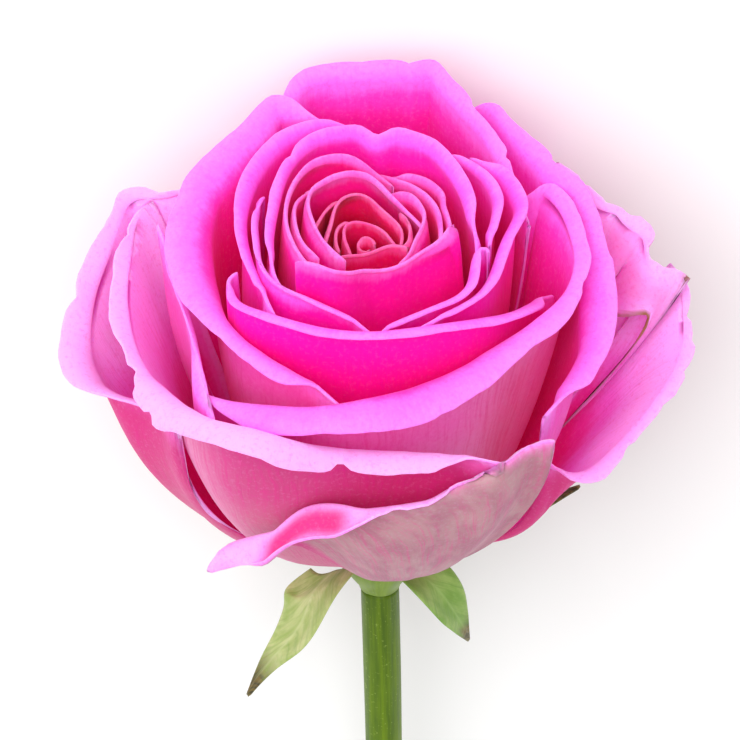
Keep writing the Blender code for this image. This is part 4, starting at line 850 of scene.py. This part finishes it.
def make_petal_materials():
    M = {}
    # ramps from the free edge in: lilac rims are partly painted highlight, crimson depths partly painted shade; the
    # guard's inner face stays lilac far in as painted light against the shading of its slope
    M['heart'] = petal_material('petal_heart_skin',
        [(0.0, (0.93, 0.15, 0.42)), (0.022, (0.92, 0.09, 0.34)), (0.06, (0.84, 0.006, 0.13)), (0.25, (0.74, 0.001, 0.05))],
        [(0.0, (0.93, 0.15, 0.42)), (0.03, (0.92, 0.06, 0.30)), (0.09, (0.84, 0.003, 0.12)), (0.35, (0.72, 0.001, 0.05))], 0.05, 0.0, 0.03)
    M['inner'] = petal_material('petal_inner_skin',
        [(0.0, (0.97, 0.20, 0.70)), (0.03, (0.97, 0.12, 0.60)), (0.09, (0.92, 0.006, 0.30)), (0.35, (0.86, 0.001, 0.13))],
        [(0.0, (0.97, 0.20, 0.70)), (0.03, (0.97, 0.10, 0.55)), (0.09, (0.94, 0.004, 0.37)), (0.5, (0.92, 0.001, 0.27))], 0.06, 0.01, 0.03)
    M['middle'] = petal_material('petal_middle_skin',
        [(0.0, (0.97, 0.21, 0.88)), (0.06, (0.97, 0.11, 0.78)), (0.15, (0.94, 0.020, 0.54)), (0.35, (0.92, 0.003, 0.38)), (0.7, (0.88, 0.001, 0.22))],
        [(0.0, (0.97, 0.21, 0.88)), (0.05, (0.97, 0.11, 0.74)), (0.12, (0.94, 0.006, 0.46)), (0.5, (0.92, 0.001, 0.30))], 0.07, 0.02, 0.04)
    M['outer'] = petal_material('petal_outer_skin',
        [(0.0, (0.97, 0.24, 0.92)), (0.12, (0.97, 0.17, 0.86)), (0.22, (0.93, 0.055, 0.60)), (0.36, (0.90, 0.018, 0.43)), (0.6, (0.88, 0.005, 0.30)), (1.0, (0.86, 0.002, 0.20))],
        [(0.0, (0.97, 0.30, 0.93)), (0.08, (0.95, 0.18, 0.74)), (0.25, (0.88, 0.11, 0.53)), (0.6, (0.86, 0.18, 0.56)), (1.0, (0.86, 0.28, 0.62))], 0.12, 0.03, 0.08)
    M['guard'] = petal_material('petal_guard_skin',
        [(0.0, (0.97, 0.42, 0.96)), (0.25, (0.97, 0.42, 0.96)), (0.42, (0.97, 0.38, 0.95)), (0.62, (0.95, 0.20, 0.78)), (0.85, (0.92, 0.05, 0.46)), (1.0, (0.90, 0.02, 0.32))],
        [(0.0, (0.95, 0.30, 0.84)), (0.06, (0.80, 0.12, 0.48)), (0.22, (0.60, 0.050, 0.24)), (0.6, (0.58, 0.075, 0.23)), (1.0, (0.58, 0.16, 0.27))], 0.16, 0.03, 0.08)
    return M


def leaf_material():
    T = Tree('sepal_skin')
    pu, pv, pid = T.attr('pu'), T.attr('pv'), T.attr('pid')
    tip, side = T.attr('tip'), T.attr('side')
    drift = T.noise(T.vec(T.math('MULTIPLY', pu, 0.3), T.math('MULTIPLY', pv, 0.3), pid), 1.0, 2.0)
    rib = T.math('ABSOLUTE', pu)
    u = T.math('ADD', T.math('MULTIPLY', rib, 1.8), T.math('MULTIPLY', pv, -0.9))
    veins = T.noise(T.vec(T.math('ADD', u, T.math('MULTIPLY', drift, 1.2)), T.math('MULTIPLY', pv, 0.15), pid), 1.0, 3.0)
    blot = T.noise(T.vec(T.math('MULTIPLY', pu, 0.5), T.math('MULTIPLY', pv, 0.25), pid), 1.0, 4.0)
    hair = T.noise(T.object_coords(), 3200.0, 2.0)
    c = T.mix(T.band(blot, 0.3, 0.7), (0.30, 0.40, 0.10), (0.50, 0.54, 0.24))
    c = T.mix(T.math('MULTIPLY', T.band(veins, 0.45, 0.7), 0.45), c, (0.20, 0.32, 0.06))
    c = T.mix(T.math('MULTIPLY', side, 0.45), c, (0.20, 0.34, 0.07))
    c = T.mix(T.band(rib, 0.5, 0.0, 0.0, 0.5), c, (0.55, 0.60, 0.30))
    c = T.mix(T.band(pid, 4.5, 4.7), c, T.mix(1.0, c, (0.58, 0.82, 0.45), 'MULTIPLY'))
    brown = T.band(T.math('ADD', tip, T.math('MULTIPLY', blot, 0.25)), 0.80, 1.02)
    c = T.mix(brown, c, T.mix(T.band(veins, 0.35, 0.65), (0.045, 0.035, 0.008), (0.16, 0.11, 0.02)))
    T.link(c, T.b.inputs['Base Color'])
    T.link(T.band(veins, 0.3, 0.7, 0.62, 0.48), T.b.inputs['Roughness'])
    T.b.inputs['Specular IOR Level'].default_value = 0.35
    T.b.inputs['Subsurface Weight'].default_value = 0.15
    T.b.inputs['Subsurface Radius'].default_value = (0.5, 1.0, 0.2)
    T.b.inputs['Subsurface Scale'].default_value = 0.001
    T.b.inputs['Sheen Weight'].default_value = 0.25
    T.b.inputs['Sheen Tint'].default_value = (0.85, 0.95, 0.7, 1)
    b = T.bump(veins, 0.5, 0.0003)
    T.link(T.bump(hair, 0.25, 0.00008, b), T.b.inputs['Normal'])
    return T.m


def green_material(name, low, high, band, streak):
    """Stem and receptacle: fine lengthwise streaks on a satin green."""
    T = Tree(name)
    pu, pv = T.attr('pu'), T.attr('pv')
    streaks = T.noise(T.vec(T.math('MULTIPLY', pu, streak), T.math('MULTIPLY', pv, 0.045), 3.0), 1.0, 4.0, 0.6)
    blot = T.noise(T.vec(T.math('MULTIPLY', pu, 0.25), T.math('MULTIPLY', pv, 0.10), 8.0), 1.0, 3.0)
    pores = T.noise(T.object_coords(), 1900.0, 2.0)
    c = T.mix(T.band(streaks, 0.3, 0.7), low, high)
    c = T.mix(T.math('MULTIPLY', T.band(blot, 0.45, 0.75), 0.35), c, band)
    c = T.mix(T.math('MULTIPLY', T.band(pores, 0.62, 0.75), 0.35), c, (0.42, 0.55, 0.12))
    cut = T.attr('cut')
    ring = T.attr('ring')
    pith = T.mix(T.band(ring, 0.30, 0.42), (0.62, 0.66, 0.36), T.mix(T.band(ring, 0.72, 0.86), (0.40, 0.50, 0.18), (0.13, 0.22, 0.02)))
    c = T.mix(T.band(cut, 0.4, 0.6), c, pith)
    T.link(c, T.b.inputs['Base Color'])
    T.link(T.band(streaks, 0.3, 0.7, 0.36, 0.52), T.b.inputs['Roughness'])
    T.b.inputs['Specular IOR Level'].default_value = 0.28
    T.b.inputs['Subsurface Weight'].default_value = 0.12
    T.b.inputs['Subsurface Radius'].default_value = (0.5, 1.0, 0.1)
    T.b.inputs['Subsurface Scale'].default_value = 0.001
    b = T.bump(streaks, 0.4, 0.0003)
    T.link(T.bump(pores, 0.2, 0.00008, b), T.b.inputs['Normal'])
    return T.m


# ======================================================================
# Pieces
# ======================================================================
def put(ob, node, mat):
    ob.data.materials.clear(); ob.data.materials.append(mat)
    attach(ob, "root"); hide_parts(node)


def zone(x, lo, hi, soft):
    """1 between lo and hi, easing to 0 over soft."""
    return ease((x - lo) / soft + 0.5) * ease((hi - x) / soft + 0.5)


def make_petals(made, lean, drop, mats):
    for k, (spec, kind, s, t, S, length) in enumerate(made):
        K = KINDS[kind]
        h, d, e_t, e_s = swell(S, K['body'], K['lip'], K['reach'], length)
        pv = arc(S, 0)
        pu = np.broadcast_to((s * length)[None, :], pv.shape)
        sg = np.broadcast_to(s[None, :], pv.shape); tg = np.broadcast_to(t[:, None], pv.shape)
        pale_in, pale_out, painted_shade_in, painted_shade_out, dry, fair_out = marks(spec['name'], sg, tg, d)
        edge = np.minimum(e_t, e_s + 16.0 * ease((1.12 - tg) / 0.5))
        vals = dict(edge=edge, fair=(fair_out * 0, fair_out), pu=pu, pv=pv, pid=np.full(pv.shape, k * 7.31), pale=(pale_in, pale_out),
                    deep=(painted_shade_in, painted_shade_out), dry=(dry, dry))
        ob = sheet_mesh('rose_' + spec['name'], S, h, vals, bend=lambda P: press(P, lean, drop))
        put(ob, 'petal_' + spec['name'], mats[kind])


def marks(name, s, t, d):
    """Pale and dried places on one petal, and painted shade in its folds and under its lips: inner face, outer face."""
    z = np.zeros_like(s * 1.0)
    pale_in, pale_out, painted_shade_in, painted_shade_out, dry, fair_out = z, z.copy(), z.copy(), z.copy(), z.copy(), z.copy()
    if name == 'guard_low':
        pale_out = 0.92 * ease((s - 0.03) / 0.05) * ease((d - 0.2) / 1.5)
        pale_in = 0.5 * ease((s - 0.62) / 0.2)
        # painted shade in the trough of the folded-out left half
        painted_shade_in = 0.9 * zone(s, 0.17, 0.42, 0.08) * zone(t, 1.40, 1.80, 0.25)
    if name == 'guard_front':
        fair_out = 0.85 * ease((0.62 - s) / 0.2) * ease((d - 4) / 6)
        # painted shadow of the lip over the right of the outer face
        painted_shade_out = 0.35 * ease((s - 0.66) / 0.2) * ease((d - 3) / 6)
    if name in ('guard_left', 'guard_right_2'):
        # painted shade on the outer face, darker away from the free edge
        painted_shade_out = 0.30 * ease((d - 1) / 4)
    if name == 'guard_right':
        # painted shade on the inner face, darker away from the free edge
        painted_shade_in = 0.30 * ease((d - 1.0) / 4)
        dry = ease((s - 0.955) / 0.03) * ease((1.6 - d) / 1.2)
    if name == 'outer_front':
        fair_out = 0.7 * zone(s, 0.34, 0.50, 0.12) * ease((d - 6) / 8)
    return pale_in, pale_out, painted_shade_in, painted_shade_out, dry, fair_out


def sepal_rows(spec):
    return np.linspace(0, 1, 21), np.linspace(0, 1, 61)


def make_sepals(leaves, lean, drop, mat):
    for k, (spec, V) in enumerate(zip(SEPALS, leaves)):
        s, t = sepal_rows(spec)
        s0, t0 = np.linspace(0, 1, 5), np.linspace(0, 1, 9)
        A = np.stack([spline(s0, V[i], s) for i in range(V.shape[0])])
        S = spline(t0, A.reshape(A.shape[0], -1), t).reshape(len(t), len(s), 3)
        across = arc(S, 1); w = across[:, -1:]
        pu = across - w / 2; pv = arc(S, 0)
        n = normals(S)
        # a keel down the middle, and a thicker rib along it
        x = (s * 2 - 1)[None, :]
        S = S + n * ((0.35 * (1 - np.abs(x)) ** 2) * (w / 8)[:, :])[..., None]
        h, d, e_t, e_s = swell(S, 0.62, 0.40, 1.2, 8)
        h = h * (1 + 0.5 * np.exp(-(pu / 0.5) ** 2))
        tip = np.broadcast_to(t[:, None], pv.shape)
        vals = dict(pu=pu, pv=pv, pid=np.full(pv.shape, 3.7 * k + 1), tip=tip, edge=d)
        ob = sheet_mesh('rose_' + spec['name'], S, h, vals, bend=lambda P: press(P, lean, drop))
        put(ob, spec['name'], mat)


def turned(name, rings, cols, mat, node, cap_low=False):
    """rings: (centre x, centre y, height, radius, cut) from top to bottom; closed at both ends."""
    a = np.linspace(0, 2 * math.pi, cols, endpoint=False)
    co, pu, pv, cut, ring = [], [], [], [], []
    run = 0.0; last = None
    for cx, cy, z, r, c, rib in rings:
        rr = r * (1 + rib * np.cos(5 * a + 0.4) + 0.35 * rib * np.cos(11 * a))
        P = np.stack([cx + rr * np.cos(a), cy + rr * np.sin(a), np.full(cols, z)], 1)
        if last is not None: run += math.hypot(z - last[0], r - last[1])
        last = (z, r)
        co.append(P); pu.append(a * 3.0); pv.append(np.full(cols, run)); cut.append(np.full(cols, c))
        ring.append(np.full(cols, r / STEM_RADIUS_END))
    n = len(rings)
    P = np.concatenate(co + [np.array([[rings[0][0], rings[0][1], rings[0][2]], [rings[-1][0], rings[-1][1], rings[-1][2]]])])
    F = []
    for i in range(n - 1):
        for j in range(cols):
            k = (j + 1) % cols
            F.append((i * cols + j, (i + 1) * cols + j, (i + 1) * cols + k, i * cols + k))
    top, bot = n * cols, n * cols + 1
    for j in range(cols):
        k = (j + 1) % cols
        F.append((top, j, k)); F.append((bot, (n - 1) * cols + k, (n - 1) * cols + j))
    me = bpy.data.meshes.new(name)
    me.from_pydata([tuple(p) for p in to_world(P)], [], F); me.update()
    bm = bmesh.new(); bm.from_mesh(me)
    if bm.calc_volume(signed=True) < 0: bmesh.ops.reverse_faces(bm, faces=bm.faces)
    bm.to_mesh(me); bm.free(); me.shade_smooth()
    vals = dict(pu=np.concatenate(pu + [[0, 0]]), pv=np.concatenate(pv + [[0, run]]),
                cut=np.concatenate(cut + [[0, rings[-1][4]]]), ring=np.concatenate(ring + [[0, 0]]))
    for key, v in vals.items():
        at = me.attributes.new(key, 'FLOAT', 'POINT'); at.data.foreach_set('value', np.asarray(v, np.float32))
    ob = bpy.data.objects.new(name, me); bpy.context.scene.collection.objects.link(ob)
    put(ob, node, mat)
    return ob


def make_greens():
    dome = [(RECEPTACLE_DOME * math.sin(a), RECEPTACLE_DOME * math.cos(a)) for a in np.linspace(0.12, math.pi / 2, 12)]
    hip = [(5.4, -1.6), (5.8, -3.4), (RECEPTACLE_WIDE, -5.0), (5.5, -7.0), (4.5, -9.0), (3.6, -10.5), (3.2, RECEPTACLE_FOOT)]
    hip = np.array(hip); q = np.linspace(0, 1, 30)
    L = np.linspace(0, 1, len(hip)); H = spline(L, hip, q)
    rings = [(0, 0, z, r, 0.0, 0.0) for r, z in dome] + [(0, 0, z, r, 0.0, 0.012) for r, z in H]
    m = green_material('receptacle_skin', (0.16, 0.26, 0.015), (0.26, 0.38, 0.05), (0.36, 0.44, 0.12), 1.6)
    turned('rose_receptacle', rings, 72, m, 'receptacle')
    top = RECEPTACLE_FOOT - 0.35; foot = RECEPTACLE_FOOT - STEM_LENGTH
    rings = []
    for f in np.linspace(0, 1, 150):
        z = top + (foot - top) * f
        r = STEM_RADIUS_TOP + (STEM_RADIUS_END - STEM_RADIUS_TOP) * f
        r *= 1 + 0.012 * float(wave(np.array([f * 2.2]), 5.0)[0])
        rings.append((0.8 * math.sin(math.pi * f), 0.0, z, r, 0.0, 0.012))
    first, last = rings[0], rings[-1]
    rings = [(first[0], 0, first[2], first[3] * q, 0.0, 0.0) for q in (0.3, 0.7, 0.93)] + rings
    rings += [(0, 0, foot - 0.0, last[3] * q, 1.0, 0.0) for q in (0.985, 0.9, 0.75, 0.6, 0.45, 0.3, 0.15)]
    m = green_material('stem_skin', (0.062, 0.125, 0.001), (0.13, 0.22, 0.002), (0.17, 0.28, 0.008), 1.1)
    turned('rose_stem', rings, 64, m, 'stem')


# ======================================================================
# Floor, light and camera
# ======================================================================
def world_direction(v):
    v = np.asarray(v, float)
    a = LEAN
    return np.array([v[0], v[1] * math.sin(a) + v[2] * math.cos(a), -v[1] * math.cos(a) + v[2] * math.sin(a)])


def make_floor():
    bm = bmesh.new(); bmesh.ops.create_grid(bm, x_segments=1, y_segments=1, size=6.0)
    me = bpy.data.meshes.new('floor'); bm.to_mesh(me); bm.free()
    ob = bpy.data.objects.new('floor', me); bpy.context.scene.collection.objects.link(ob)
    ob.location.z = -0.0002
    T = Tree('pale_floor')
    n = T.noise(T.object_coords(), 3.0, 2.0)
    T.link(T.mix(T.band(n, 0.3, 0.7), (0.93, 0.93, 0.93), (0.95, 0.95, 0.95)), T.b.inputs['Base Color'])
    T.b.inputs['Roughness'].default_value = 0.85
    T.b.inputs['Specular IOR Level'].default_value = 0.1
    me.materials.append(T.m)


def lamp(name, d, dist, size, energy, colour=(1, 1, 1)):
    l = bpy.data.lights.new(name, 'AREA'); l.shape = 'SQUARE'; l.size = size; l.energy = energy; l.color = colour
    ob = bpy.data.objects.new(name, l); bpy.context.scene.collection.objects.link(ob)
    d = Vector(d).normalized()
    ob.location = Vector((0, 0.04, 0.03)) + d * dist
    ob.rotation_euler = (-d).to_track_quat('-Z', 'Y').to_euler()
    return ob


def make_light():
    w = bpy.data.worlds.new('studio'); bpy.context.scene.world = w; w.use_nodes = True
    bg = w.node_tree.nodes['Background']
    bg.inputs[0].default_value = (1, 1, 1, 1); bg.inputs[1].default_value = 0.74
    # a broad soft light from the bloom's side, and a weaker one from the left
    lamp('key', (-0.20, 0.55, 0.9), 1.1, 0.9, 9.0)
    lamp('fill', (-0.9, -0.1, 0.7), 1.2, 0.8, 1.5)


def make_camera():
    cam = bpy.data.cameras.new('camera'); ob = bpy.data.objects.new('camera', cam)
    bpy.context.scene.collection.objects.link(ob)
    cam.sensor_fit = 'HORIZONTAL'; cam.sensor_width = 36.0
    cam.lens = 36.0 * UNIT * VIEW_FAR / 740.0
    cam.clip_start = 0.05; cam.clip_end = 20.0
    pos = to_world(EYE)
    z = world_direction(TO_EYE); x = np.array([1.0, 0, 0]); y = np.cross(z, x)
    ob.matrix_world = Matrix(((x[0], y[0], z[0], pos[0]), (x[1], y[1], z[1], pos[1]), (x[2], y[2], z[2], pos[2]), (0, 0, 0, 1)))
    bpy.context.scene.camera = ob


def main():
    make_camera(); make_light(); make_floor()
    made, leaves, lean, drop = build_petals()
    make_petals(made, lean, drop, make_petal_materials())
    make_sepals(leaves, lean, drop, leaf_material())
    make_greens()
    bpy.context.scene.cycles.max_bounces = 16; bpy.context.scene.cycles.diffuse_bounces = 8
    vs = bpy.context.scene.view_settings
    vs.view_transform = 'Standard'; vs.look = 'None'


main()
